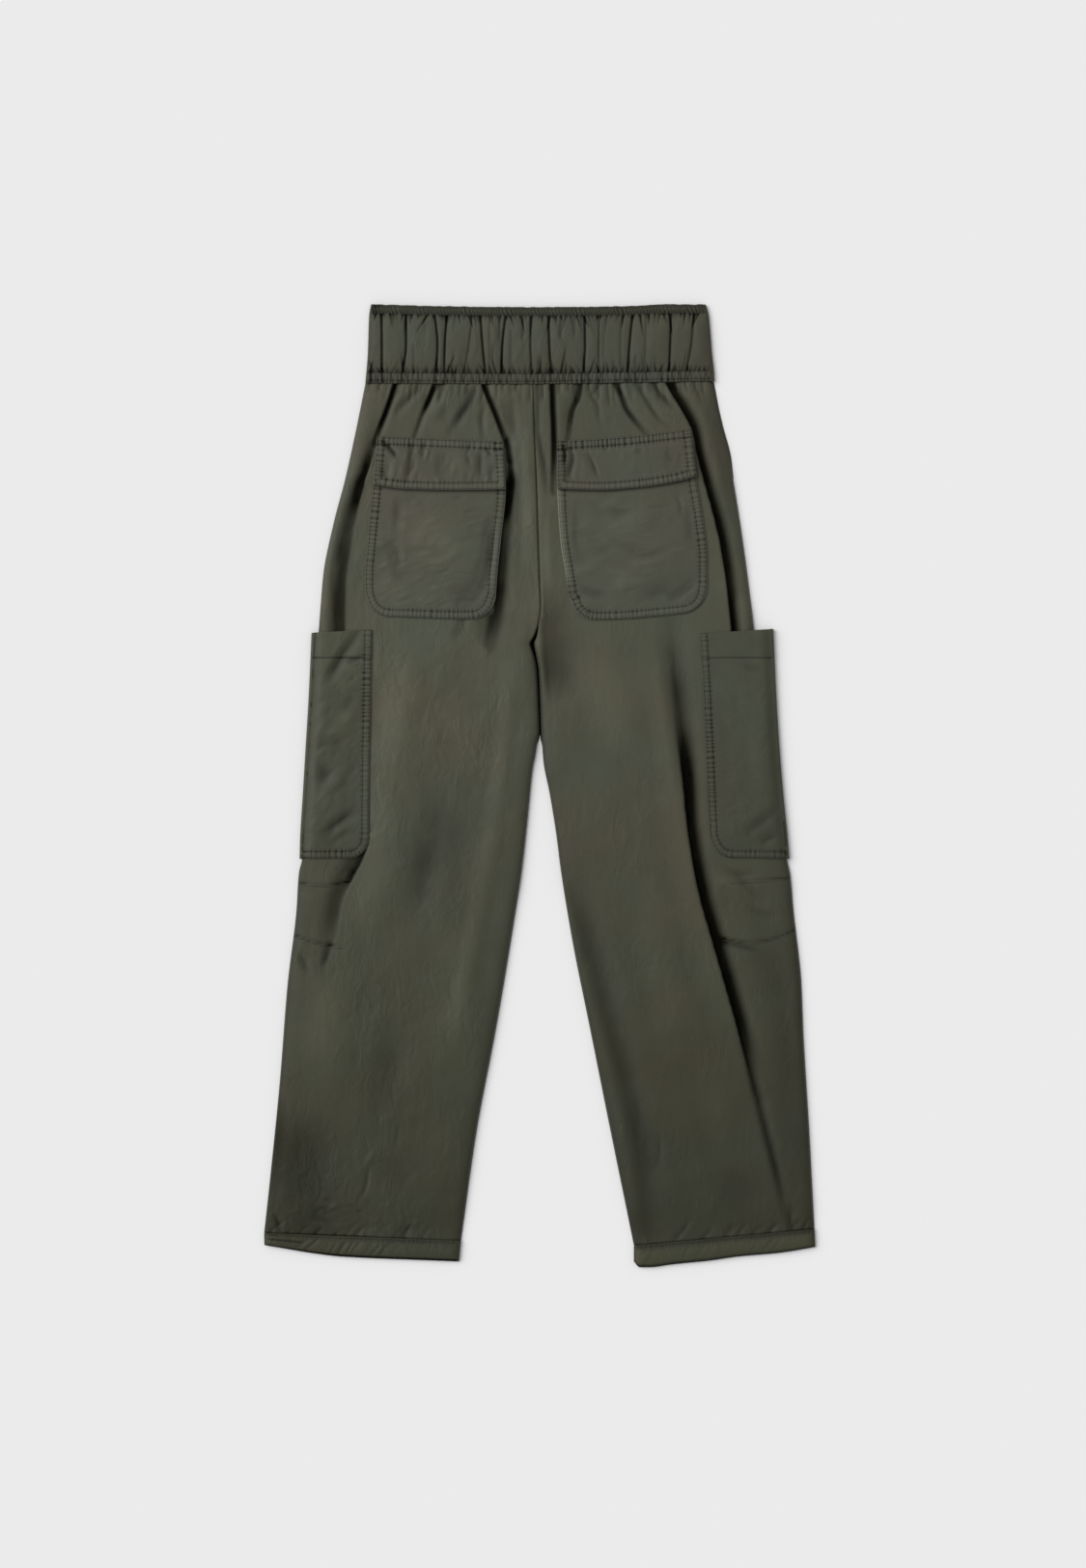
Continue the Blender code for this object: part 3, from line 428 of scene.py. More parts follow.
# %% [markdown]
# ## Small creases
# Between the folds that can be named one by one, cloth has small creases that nobody would place
# by hand: puckers where it is gathered into a seam, and crinkles from handling. They only need the
# right length, lean and spacing, so a loop draws them at random, from a seed that never changes.

# %% Gathers and puckers
WAIST_END, WAIST_SEAM = 416.0, 419
# The seed of each side's small creases, and the x from which and up to which they run.
GATHERED = {"left": (11, -176, -10), "right": (12, -4, 172)}
PUCKERED = {"left": (13, -281, -120), "right": (14, 190, 281)}
# Each hem's seam: (x, y) of its inner end, and how much it climbs towards +X.
HEM_LINES = {"left": (-82, -471, -0.04), "right": (97, -476, 0.091)}


def seat_gathers(side):
    """Short puckers below the waistband, where the seat's cloth is gathered into its seam."""
    seed, x, end = GATHERED[side]
    random = np.random.default_rng(seed)
    found = []
    while x < end:
        length = random.uniform(9, 30)
        lean = (x / 180) * random.uniform(0.1, 0.6) * length
        rise = -random.uniform(0.5, 1.6)
        left, right = random.uniform(2.2, 3.6), random.uniform(2.6, 5.0)
        middle = (x + 0.5 * lean, WAIST_END - 0.5 * length)
        points = ((x, WAIST_SEAM), middle, (x + lean, WAIST_END - length))
        found.append(crease(points, rise, left, right, sharp=0.5, top=1.0, gloom=2.2))
        x += random.uniform(5, 10)
    return found


def hem_puckers(side):
    """Short slanting puckers above the stitches of a hem."""
    seed, x, end = PUCKERED[side]
    seam_x, seam_y, climb = HEM_LINES[side]
    random = np.random.default_rng(seed)
    found = []
    while x < end:
        y = seam_y + (x - seam_x) * climb
        length, lean = random.uniform(4, 20), random.uniform(0.3, 1.6)
        middle = (x + 0.4 * lean * length, y + 0.5 * length)
        points = ((x + lean * length, y + length), middle, (x, y - 1))
        rise = -random.uniform(0.2, 1.1)
        left, right = random.uniform(1.8, 3.6), random.uniform(2.4, 6.0)
        found.append(crease(points, rise, left, right, foot=0.9, gloom=1.6))
        x += random.choice((3, 4, 8, 15)) * random.uniform(0.8, 1.4)
    return found


print("gathers of the seat:", [len(seat_gathers(side)) for side in SIDES])
print("puckers above the hems:", [len(hem_puckers(side)) for side in SIDES])

# %% Crinkles
def crinkles(seed, count, low, high, angle, length, rise, width):
    """Small slanting creases scattered over a region, as handling leaves in cotton."""
    random = np.random.default_rng(seed)
    found = []
    for _ in range(count):
        x, y = random.uniform(low[0], high[0]), random.uniform(low[1], high[1])
        turn = math.radians(angle + random.normal(0, 9))
        half = random.uniform(0.5, 1.0) * length / 2
        bend = random.uniform(-0.12, 0.12) * half
        dx, dy = half * math.cos(turn), half * math.sin(turn)
        points = ((x + dx, y + dy), (x - dy * bend / half, y + dx * bend / half), (x - dx, y - dy))
        size = rise * random.uniform(0.4, 1.0) * random.choice((-1, 1))
        found.append(crease(points, size, width * random.uniform(0.7, 1.3), sharp=0.3))
    return found


CRINKLES = {
    "left": [
        *crinkles(21, 60, (-165, -40), (-35, 120), 70, 34, 0.34, 4.0),
        *crinkles(22, 26, (-160, -150), (-70, -40), 64, 26, 0.28, 3.6),
        *crinkles(23, 26, (-175, -262), (-95, -200), 50, 16, 0.3, 3.4),
        *crinkles(24, 22, (-262, -455), (-100, -300), 62, 30, 0.3, 4.5),
        *crinkles(25, 10, (-215, 180), (-190, 400), 80, 40, 0.3, 4.5),
        *crinkles(26, 9, (-218, -97), (-190, -84), 92, 14, 0.9, 2.4),
        *crinkles(27, 18, (-258, -460), (-130, -428), 18, 24, 0.8, 3.2),
    ],
    "right": [
        *crinkles(31, 22, (20, -60), (120, 130), 96, 36, 0.22, 4.5),
        *crinkles(32, 26, (60, -440), (220, -120), 104, 34, 0.24, 4.5),
        *crinkles(33, 12, (225, -440), (270, -190), 100, 26, 0.3, 4.0),
        *crinkles(34, 10, (185, 180), (205, 400), 100, 36, 0.25, 4.5),
    ],
}
LEG_CREASES = {
    side: [*SEAT_FOLDS, *FOLDS[side], *seat_gathers(side), *hem_puckers(side), *CRINKLES[side]]
    for side in SIDES
}
print("creases:", {side: len(found) for side, found in LEG_CREASES.items()})

# %% [markdown]
# ## Heights of the layers
# The front lies on the surface and the back lies on it, rising between its seams because the
# cloth is springy. At a side seam the back rolls down to meet the front. The height of any spot
# is worked out by one function, so that pockets, flaps and stitches can be laid on it later.

# %% Heights of a leg
WALL, GAP = 1.0, 0.3
EDGE_TOP = 2 * WALL + GAP
POCKET_LIFT = WALL + GAP
CROWN, CARGO_CROWN, LEAST_CROWN = 4.6, 3.6, -0.5
ROUNDING = 15.0
WAIST_SLOPE, WAIST_SHARE = 16.0, 0.55  # how far the crown takes to fall to its share at the waist
HEM_END, HEM_SLOPE, HEM_SHARE = -465.0, 34.0, 0.6
SWELLS = ((0.45, 95, 5), (0.12, 34, 6))  # height, length and seed of the cloth's own unevenness
CARGO_TOP, CARGO_LOW = (198, 174), (-128, -98)
SEAM_ROLL, SEAM_ROLL_WIDTH = 1.1, 5.0


def cargo_zone(y):
    """1 where the leg lies on the front half of its cargo pocket."""
    return smooth_step(*CARGO_TOP, y) * smooth_step(*CARGO_LOW, y)


def quarter_round(distance, width):
    """0 at an edge, and 1 from a width inwards."""
    t = np.clip(distance / width, 0.0, 1.0)
    return np.sqrt(1 - (1 - t) ** 2)


def bell(distance, width):
    """1 on a line, and fading on both sides of it."""
    return np.exp(-((distance / width) ** 2))


def bag_sides(side, y):
    """Where a back pocket's left and right sides are at some heights."""
    return curve(BAGS[side].left, y), curve(BAGS[side].right, y)


def under_pocket(side, x, y):
    """1 where the back pocket holds the leg's cloth flat, and 0 outside the pocket."""
    left_x, right_x = bag_sides(side, y)
    across = np.minimum(x - left_x, right_x - x)
    up = np.minimum(y - BAGS[side].foot[0][1], BAGS[side].top[0][1] - y)
    return smooth_step(0.0, 4.0, across) * smooth_step(0.0, 8.0, up)


print("an edge rounds up to", EDGE_TOP, "mm from its two layers, and", CROWN, "mm more inside")

# %% Surface of a leg
CENTRE_SEAM = (120, 175)  # the seat's halves part between these heights
SEAM_WIDTH, SEAM_DEPTH, SEAM_SHADE = 1.1, 0.4, 1.1
SEAM_WEAR, SEAM_WEAR_WIDTH = 0.4, 4.0
EDGE_SHADE = (0.65, 0.35)  # how much painted shade darkens the rolled edges on the viewer's left and right
EDGE_SHADE_WIDTH = (14, 12)
HIPS, HIP_SHADE_CUT = (150, 200), 0.75  # where, and by how much, that painted shade is weaker


def leg_surface(side, x, y):
    """The top of the back layer of a leg, its tone, and how far its points are pushed right."""
    from_inner = np.abs(x - curve(LEG_EDGES[side]["inner"], y))
    from_outer = np.abs(x - curve(LEG_EDGES[side]["outer"], y))
    seat = smooth_step(*CENTRE_SEAM, y)
    edges = np.minimum(
        quarter_round(from_outer, ROUNDING),
        np.maximum(quarter_round(from_inner, ROUNDING), seat),
    )
    ends = WAIST_SHARE + (1 - WAIST_SHARE) * smooth_step(WAIST_END, WAIST_END - WAIST_SLOPE, y)
    ends *= HEM_SHARE + (1 - HEM_SHARE) * smooth_step(HEM_END, HEM_END + HEM_SLOPE, y)
    crown = (CROWN + (CARGO_CROWN - CROWN) * cargo_zone(y)) * ends
    for rise, length, seed in SWELLS:
        crown = crown + rise * ripple(x, y, length, seed)
    relief, tone, shift = creased(x, y, LEG_CREASES[side])
    loose = 1 - under_pocket(side, x, y)
    height = np.maximum(crown + relief * loose, LEAST_CROWN) * edges
    height += EDGE_TOP + POCKET_LIFT * cargo_zone(y)
    roll = 1 - quarter_round(from_outer, SEAM_ROLL_WIDTH)
    roll = np.maximum(roll, (1 - quarter_round(from_inner, SEAM_ROLL_WIDTH)) * (1 - seat))
    height -= SEAM_ROLL * roll
    # The seat's halves meet in a fine groove, which is painted darker as shade, and the seam's edges have
    # worn on either side.
    seam = seat * bell(from_inner, SEAM_WIDTH)
    tone = tone * loose - SEAM_SHADE * seam + SEAM_WEAR * seat * bell(from_inner, SEAM_WEAR_WIDTH)
    # The rolled edges are painted darker as shade, less so at the hips.
    hip = 1 - HIP_SHADE_CUT * smooth_step(*HIPS, y)
    edge_shade = [(from_outer, hip), (from_inner, 1 - seat)][:: -OUTWARDS[side]]
    for dye_and_painted_light, width, (from_edge, shade_share) in zip(EDGE_SHADE, EDGE_SHADE_WIDTH, edge_shade):
        tone -= dye_and_painted_light * smooth_step(width, 0, from_edge) * shade_share
    return height - SEAM_DEPTH * seam, tone, shift * loose * edges


def leg_height(side, x, y):
    """The top of the back layer of a leg."""
    return leg_surface(side, x, y)[0]


POCKET_EDGE = (4.5, 8.5)  # how much of a back pocket lies level at its sides, and at its ends


def pocket_base(side, x, y):
    """The height that a back pocket lies on: the leg under the pocket's middle, level to its edge."""
    left_x, right_x = bag_sides(side, y)
    level_x = np.clip(x, left_x + POCKET_EDGE[0], right_x - POCKET_EDGE[0])
    low_y, high_y = BAGS[side].foot[0][1], BAGS[side].top[0][1]
    return leg_height(side, level_x, np.clip(y, low_y + POCKET_EDGE[1], high_y - POCKET_EDGE[1]))


print("height of the left leg's middle:", leg_height("left", np.array([-150.0]), np.array([0.0])), "mm")

# %% [markdown]
# ## From grid to cloth
# Every panel starts as a flat grid, which is how a bolt of cloth starts too. A function says where
# each point of the grid goes. The grid's own rows and columns become the UV map, in metres of
# cloth, so that the weave follows the panel. A Solidify modifier gives the sheet its thickness.
# `tone` is stored with each point: above zero where the cloth stands proud, partly worn paler and
# partly a painted highlight, and below zero as painted shade in the bottom of a pucker or fold.

# %% Grid builder
CLOTH = 0.6
TONE_RANGE = (-1.9, 2.8)
WELD = 1e-6


def put(name, shape):
    """An object in the scene from a bmesh, which is freed."""
    mesh = bpy.data.meshes.new(name)
    shape.to_mesh(mesh)
    shape.free()
    piece = bpy.data.objects.new(name, mesh)
    bpy.context.scene.collection.objects.link(piece)
    return piece


def closed(shape):
    """Welds the last column of a rolled grid to its first one."""
    bmesh.ops.remove_doubles(shape, verts=shape.verts[:], dist=WELD)


def face_down(shape):
    """Turns every face of a grid over."""
    bmesh.ops.reverse_faces(shape, faces=shape.faces[:])


def cloth(node, columns, rows, place, size, thickness=CLOTH, last_step=None):
    """The sheet of cloth that stands for a node, from a grid: place(u, v) gives x, y, z and tone,
    with v down the page. size is that of the cloth, for its UV map."""
    grid = bmesh.new()
    bmesh.ops.create_grid(grid, x_segments=columns, y_segments=rows, size=1.0)
    piece = put(f"{node}_cloth", grid)
    mesh = piece.data
    points = np.empty(len(mesh.vertices) * 3, np.float32)
    mesh.vertices.foreach_get("co", points)
    u, v = (points[0::3] + 1.0) / 2, (1.0 - points[1::3]) / 2
    x, y, z, tone = place(u.astype(float), v.astype(float))
    points = np.column_stack((x, y, z)) * MM
    mesh.vertices.foreach_set("co", points.astype(np.float32).ravel())
    corner = np.empty(len(mesh.loops), np.int32)
    mesh.loops.foreach_get("vertex_index", corner)
    flat = np.column_stack((u * size[0], -v * size[1]))[corner] * MM
    mesh.uv_layers.new(name="cloth").data.foreach_set("uv", flat.astype(np.float32).ravel())
    wear_and_painted_light = mesh.attributes.new("tone", "FLOAT", "POINT")
    wear_and_painted_light.data.foreach_set("value", np.clip(tone + 0 * x, *TONE_RANGE).astype(np.float32))
    if last_step:
        shape = bmesh.new()
        shape.from_mesh(mesh)
        last_step(shape)
        shape.to_mesh(mesh)
        shape.free()
    mesh.shade_smooth()
    wall = piece.modifiers.new("thickness", "SOLIDIFY")
    wall.thickness = thickness * MM
    wall.offset = -1.0
    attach(piece, "root")
    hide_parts(node)
    return piece


def faces_along(length, pitch):
    """How many faces of about a pitch fit in a length."""
    return max(1, round(length / pitch))


def report(what, pieces):
    """Prints how many faces some pieces have."""
    print(f"{what}:", [len(piece.data.polygons) for piece in pieces], "faces")


# %% [markdown]
# ## Backs of the legs
# Each back runs from the waistband's seam to the hem's seam and includes half of the seat. Rows of
# the grid slope from the inner to the outer edge, as the seams do.

# %% Back legs
BACK_PITCH = (2.0, 2.2)
LEG_WIDTH, LEG_LENGTH = 205, 887


def row_ends(side, v):
    """The heights of a row of a leg's grid at its inner and outer edges."""
    (inner_top, outer_top), (inner_low, outer_low) = LEG_ENDS[side]
    return inner_top + v * (inner_low - inner_top), outer_top + v * (outer_low - outer_top)


def leg_spot(side, u, v, out=0.0):
    """The flat place of a spot on a leg, from its left to its right edge and from its top down."""
    inner_y, outer_y = row_ends(side, v)
    inner_x = curve(LEG_EDGES[side]["inner"], inner_y)
    outer_x = curve(LEG_EDGES[side]["outer"], outer_y) + out
    share = 1 - u if side == "left" else u
    return inner_x + share * (outer_x - inner_x), inner_y + share * (outer_y - inner_y)


def back_leg(side):
    """The back of a leg, with its folds."""

    def place(u, v):
        x, y = leg_spot(side, u, v)
        z, tone, shift = leg_surface(side, x, y)
        return x + shift, y, z, tone

    columns, rows = faces_along(LEG_WIDTH, BACK_PITCH[0]), faces_along(LEG_LENGTH, BACK_PITCH[1])
    return cloth(f"back_{side}", columns, rows, place, (LEG_WIDTH, LEG_LENGTH))


backs = {side: back_leg(side) for side in SIDES}
report("backs of the legs", backs.values())

# %% [markdown]
# ## Fronts of the legs
# The fronts are the hidden layer: they lie face down on the surface, and only their edges show,
# such as the lip of the right side pocket. Their grid is coarser, and it faces down, so the sheet
# gets its thickness upwards. They have creases of their own, pressed up from the surface.

# %% Front legs
FRONT_PITCH = 5.0
FRONT_INSET = 1.0  # how far the front stays inside the back's edges
# Along the inner edge, the front draws in below the crotch, where the back rolls round it.
CROTCH, CROTCH_END, CROTCH_INSET, CROTCH_SHADE = (170, 160), (36, 48), 2.1, 1.9
NOTCH, NOTCH_END, NOTCH_INSET = (164, 156), (112, 130), 1.9
LIFTED, LIFTED_TOP, LIFTED_END = (-14, -3), (172, 163), (-86, -76)  # where a cargo pocket lifts it
MARK_SEEDS = {"left": 41, "right": 42}
FRONT_CREASE_SHADE = 0.4


def front_creases(side):
    """The creases of a front, which are pressed up from the surface."""
    marks = crinkles(MARK_SEEDS[side], 46, (-230, -450), (-10, 400), 80, 70, 0.6, 7.0)
    turned = [item._replace(points=tuple((-x, y) for x, y in item.points)) for item in marks]
    return marks if side == "left" else turned


def front_leg(side):
    """The front of a leg, which rests on the surface."""
    marks = front_creases(side)

    def place(u, v):
        lip = curve(SIDE_POCKET, row_ends(side, v)[1]) if side == "right" else 0.0
        from_middle = np.abs(2 * u - 1)
        x, y = leg_spot(side, u, v, lip)
        outer = (u - 0.5) * OUTWARDS[side] > 0
        crotch = smooth_step(*CROTCH, y) * smooth_step(*CROTCH_END, y)
        notch = smooth_step(*NOTCH, y) * smooth_step(*NOTCH_END, y)
        drawn_in = np.where(outer, lip < 0.5, 1 - CROTCH_INSET * crotch - NOTCH_INSET * notch)
        x -= np.sign(u - 0.5) * FRONT_INSET * smooth_step(0.0, 0.5, from_middle) * drawn_in
        past_edge = (x - curve(CARGO_EDGES[side], y)) * OUTWARDS[side]
        lifted = smooth_step(*LIFTED, past_edge) * smooth_step(*LIFTED_TOP, y) * smooth_step(*LIFTED_END, y)
        dents = np.abs(creased(x, y, marks)[0])
        z = POCKET_LIFT * lifted + dents * (1 - smooth_step(0.85, 1.0, from_middle))
        # Painted shade: the front is darker along its creases, and near its inner edge below the crotch,
        # where it shows in the shaded gap between the legs.
        deep = np.where(outer, 0.0, CROTCH_SHADE * crotch * smooth_step(0.6, 0.95, from_middle))
        return x, y, z, -FRONT_CREASE_SHADE * dents - deep

    columns, rows = faces_along(LEG_WIDTH, FRONT_PITCH), faces_along(LEG_LENGTH, FRONT_PITCH)
    return cloth(f"front_{side}", columns, rows, place, (LEG_WIDTH, LEG_LENGTH), last_step=face_down)


fronts = {side: front_leg(side) for side in SIDES}
report("fronts of the legs", fronts.values())

# %% [markdown]
# ## Stitched edges
# A pocket is sewn on with two rows of stitches. The turned-under edge between them is thicker, and
# because the thread draws the cloth in, it puckers into small pillows across the rows. That is
# what makes a stitched edge look sewn, so it is shaped and not only drawn: one function gives the
# height from the distance inside an edge and the way along it.

# %% Seam relief
PUCKER = 4.6
ROW_DENT, ROW_WIDTH = 0.26, 0.85
SEAM_RISE, PILLOW_RISE, EDGE_DROP = 0.3, 0.7, 0.35
PILLOW_TONE, ROW_TONE, EDGE_TONE, RISE_TONE = 1.7, 0.9, 0.4, 0.35
EDGE_WIDTH = 1.6


def pillows(run, seed, pitch=PUCKER):
    """1 on the crests of uneven small pillows along a seam, and 0 in the sharp valleys between."""
    slow, quick = np.sin(run / (1.9 * pitch) + seed), np.sin(run / 3.7 + 2 * seed)
    return np.abs(np.sin(math.pi * (run / pitch + 0.33 * slow + 0.2 * quick))) ** 0.6


def seam_relief(inside, run, rows, seed, strength=1.0):
    """How a stitched edge stands, and its tone. rows are distances from the edge to its stitches."""
    last = rows[-1]
    band = smooth_step(0, 1.2, inside) * smooth_step(last + 1.0, last - 0.6, inside)
    spread = smooth_step(0, 1.0, inside) * smooth_step(last + 5, last - 0.5, inside)
    strong = 0.74 + 0.26 * np.sin(run / 31 + 3 * seed)
    valleys = strength * strong * (pillows(run, seed) - 1) * spread
    dents = sum(bell(inside - row, ROW_WIDTH) for row in rows)
    height = SEAM_RISE * band + PILLOW_RISE * valleys
    height -= ROW_DENT * dents + EDGE_DROP * (1 - quarter_round(inside, 1.3))
    # The valleys between the pillows and the stitches' dents get painted shade; the edge and the turned-under
    # band are worn paler.
    tone = PILLOW_TONE * valleys - ROW_TONE * dents
    return height, tone + EDGE_TONE * bell(inside, EDGE_WIDTH) + RISE_TONE * band


def upright(line, y):
    """The points of a line that runs up the page, at some heights."""
    return np.column_stack((curve(line, y), y))


def offset_path(path, distance):
    """A path moved to its left side, as seen along it, with its corners mitred."""
    steps = np.diff(path, axis=0)
    steps /= np.linalg.norm(steps, axis=1)[:, None]
    normals = np.column_stack((-steps[:, 1], steps[:, 0]))
    before = np.vstack((normals[:1], normals))
    after = np.vstack((normals, normals[-1:]))
    mitre = (before + after) / (1 + (before * after).sum(axis=1))[:, None]
    return path + distance * mitre


inside = np.array((0.0, 1.4, 4.0, 7.6, 12.0))
print("relief of a seam:", seam_relief(inside, np.zeros(5), (1.4, 7.6), 2)[0].round(2), "mm")

# %% [markdown]
# ## Stitches
# Lockstitch shows as short, plump dashes of thread about 2.8 mm apart. Each is one small sphere of
# 20 faces, stretched and turned along its row by the matrix that it is created with. There are a
# couple of thousand, so they are gathered in one mesh for each piece.

# %% Stitch rows
STITCH_PITCH = 2.8
STITCH = Vector((2.0, 0.85, 0.6))  # length, width and height of the thread that shows
STITCH_FACES = 20
THREAD_LIFT = 0.08


def stitches(node, rows, height, lift=THREAD_LIFT):
    """The threads of a node along some paths, just above a surface that height(x, y) gives."""
    thread = bmesh.new()
    for path in rows:
        runs = np.concatenate(([0.0], np.cumsum(np.linalg.norm(np.diff(path, axis=0), axis=1))))
        at = np.linspace(0, runs[-1], faces_along(runs[-1], STITCH_PITCH) + 1)
        x, y = np.interp(at, runs, path[:, 0]), np.interp(at, runs, path[:, 1])
        spots = np.column_stack((x, y, height(x, y) + lift))
        for start, end in zip(spots, spots[1:]):
            turn = Vector(end - start).to_track_quat("X", "Z")
            matrix = Matrix.LocRotScale(Vector((start + end) / 2) * MM, turn, STITCH * (MM / 2))
            bmesh.ops.create_icosphere(thread, subdivisions=1, radius=1.0, matrix=matrix)
    piece = put(f"{node}_thread", thread)
    piece.data.shade_smooth()
    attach(piece, "root")
    return piece


def count_stitches(threads):
    """How many stitches some threads have."""
    return sum(len(piece.data.polygons) for piece in threads) // STITCH_FACES


print("a stitch is", [round(size, 2) for size in STITCH], "mm, every", STITCH_PITCH, "mm")

# %% Knee stitches
KNEE_ROW = 2.2  # how far below its seam a knee's stitches run


def knee_stitches(side):
    """A row of stitches just below each knee seam."""
    rows = [smooth_path([(x, y - KNEE_ROW) for x, y in line]) for line in KNEE_SEAMS[side]]
    return stitches(f"knee_{side}", rows, lambda x, y: leg_height(side, x, y))


knee_threads = {side: knee_stitches(side) for side in SIDES}
print("knee stitches:", count_stitches(knee_threads.values()))

# %% [markdown]
# ## Back pockets
# Each back pocket is a flat bag with rounded lower corners. The grid's columns are closer together
# near its sides, so that the corners come out round: there, the columns stand at equal steps round
# the corner's arc. The bag lies on the back, so its height is the back's height, raised by the
# layers between.

# %% Creases of the pocket bags
BAG_CREASES = {
    "left": (
        crease(((-80, 180), (-62, 206), (-50, 244), (-48, 280)), -1.7, 12, 16, top=0.3),
        crease(((-50, 290), (-52, 240), (-56, 200)), -1.4, 10, 14),
        crease(((-88, 182), (-80, 194), (-70, 204)), -0.9, 6, sharp=0.3),
        crease(((-160, 262), (-150, 230), (-146, 205)), -0.9, 8, 12),
        crease(((-148, 305), (-147, 280), (-150, 250)), -1.0, 7, 9),
        crease(((-152, 252), (-146, 238), (-148, 222)), -0.7, 5, 7),
        crease(((-148, 238), (-112, 242), (-84, 236)), -0.6, 8),
        crease(((-118, 224), (-100, 230), (-78, 248)), 0.6, 7),
        crease(((-108, 290), (-104, 250), (-112, 215)), 0.9, 44, 40),
        *crinkles(51, 40, (-168, 182), (-52, 300), 12, 26, 0.6, 3.8),
        *crinkles(52, 14, (-165, 185), (-55, 300), 20, 46, 0.6, 11.0),
    ),
    "right": (
        crease(((128, 190), (148, 200), (164, 214)), -1.3, 7, 9),
        crease(((84, 243), (112, 238), (142, 246)), -1.0, 8, 8),
        crease(((66, 262), (88, 248), (118, 242)), -0.6, 7),
        crease(((84, 226), (110, 230), (136, 236)), 0.6, 8),
        crease(((38, 206), (56, 198), (76, 194)), -1.3, 7, sharp=0.2),
        crease(((150, 300), (156, 270), (158, 240)), -0.8, 9, 8),
        crease(((139, 305), (145, 290), (146, 272)), -0.9, 5, sharp=0.3),
        crease(((40, 300), (38, 256), (46, 222)), -0.8, 6, 12),
        crease(((92, 300), (90, 270), (94, 250)), 0.9, 36, 30),
        crease(((100, 222), (96, 210), (98, 200)), 0.7, 26, 26),
        *crinkles(53, 22, (38, 182), (158, 300), 4, 32, 0.45, 4.6),
        *crinkles(54, 12, (40, 185), (155, 300), 10, 50, 0.9, 12.0),
    ),
}
print("creases of the pocket bags:", {side: len(BAG_CREASES[side]) for side in SIDES})

# %% Edge and height of the pocket bags
BAG_RADIUS = 25.0
BAG_ROWS = (1.4, 7.6)
BAG_LIFT, BAG_BULGE, BAG_DEEPEST = 1.35, 0.8, -0.7
BAG_SEEDS = {"left": 2, "right": 5}
EDGE_HIGHLIGHT = {"left": 0.0, "right": 3.6}  # how pale the painted highlight along a bag's left edge is
EDGE_HIGHLIGHT_FROM = (200, 228)
FLAP_SHADOW = 0.8  # how dark the painted shadow on the strip just under the flap's edge is
PAINTED_LINE_WIDTH = 2.4


def bag_x(side, share, y):
    """Where a share of the way across a back pocket is at some heights."""
    left_x, right_x = bag_sides(side, y)
    return left_x + share * (right_x - left_x)


def bag_outline(side):
    """The bag's sewn edge: down its left side, round its foot and up its right side."""
    bag = BAGS[side]
    left_foot, right_foot = curve(bag.foot, (0.0, 1.0))
    left = upright(bag.left, np.linspace(bag.mouth[0], left_foot + BAG_RADIUS, 24))
    right = upright(bag.right, np.linspace(right_foot + BAG_RADIUS, bag.mouth[1], 24))
    left_x, right_x = curve(bag.left, left_foot), curve(bag.right, right_foot)
    width = right_x - left_x
    shares = np.linspace(BAG_RADIUS / width, 1 - BAG_RADIUS / width, 12)
    foot = np.column_stack((left_x + shares * width, curve(bag.foot, shares)))
    steps = np.linspace(0, math.pi / 2, 9)[1:-1]
    arc = BAG_RADIUS * np.column_stack((1 - np.cos(steps), 1 - np.sin(steps)))
    turn_left = (left_x, foot[0, 1]) + arc
    turn_right = (right_x, foot[-1, 1]) + arc[::-1] * (-1, 1)
    return np.vstack((left, turn_left, foot, turn_right, right))


def bag_height(side, x, y):
    """The top of a back pocket, and its tone."""
    distance, run, _ = nearest_on(bag_outline(side), x, y)
    inside = np.maximum(distance, 0.0)
    relief, tone = seam_relief(inside, run, BAG_ROWS, BAG_SEEDS[side])
    marks, marks_tone, _ = creased(x, y, BAG_CREASES[side]) * smooth_step(2, 14, inside)
    bulge = BAG_BULGE * smooth_step(8, 45, inside)
    height = pocket_base(side, x, y) + BAG_LIFT + relief + np.maximum(bulge + marks, BAG_DEEPEST)
    # One edge stands up and catches the light, so it gets a painted highlight.
    left_x, right_x = bag_sides(side, y)
    painted_highlight = EDGE_HIGHLIGHT[side] * bell(inside, PAINTED_LINE_WIDTH) * smooth_step(16, 4, x - left_x)
    tone = tone + painted_highlight * smooth_step(*EDGE_HIGHLIGHT_FROM, y) * (inside < 12)
    # The strip just under the flap's edge gets a painted shadow.
    below_flap = curve(FLAP_FOOT[side], (x - left_x) / (right_x - left_x)) - y
    return height, tone + marks_tone - FLAP_SHADOW * bell(below_flap, PAINTED_LINE_WIDTH)


print("edge of a pocket bag:", len(bag_outline("left")), "points")

# %% Pocket bags
BAG_PITCH = 1.2
BAG_THICK = 0.9
BAG_MIDDLE = 260.0  # the height at which a bag's width is measured


def corner_shares(width, radius, pitch):
    """Shares across a pocket whose ends step evenly round the arc of a corner."""
    steps = faces_along(radius * math.pi / 2, pitch)
    turn = radius * (1 - np.cos(np.linspace(0, math.pi / 2, steps + 1))) / width
    middle = np.linspace(turn[-1], 1 - turn[-1], faces_along(width - 2 * radius, pitch) + 1)[1:-1]
    return np.concatenate((turn, middle, 1 - turn[::-1]))


def corner_rise(distance, radius):
    """How far a rounded corner lifts the foot of a pocket, at a distance from its side."""
    t = np.clip(1 - distance / radius, 0.0, 1.0)
    return radius * (1 - np.sqrt(1 - t**2))


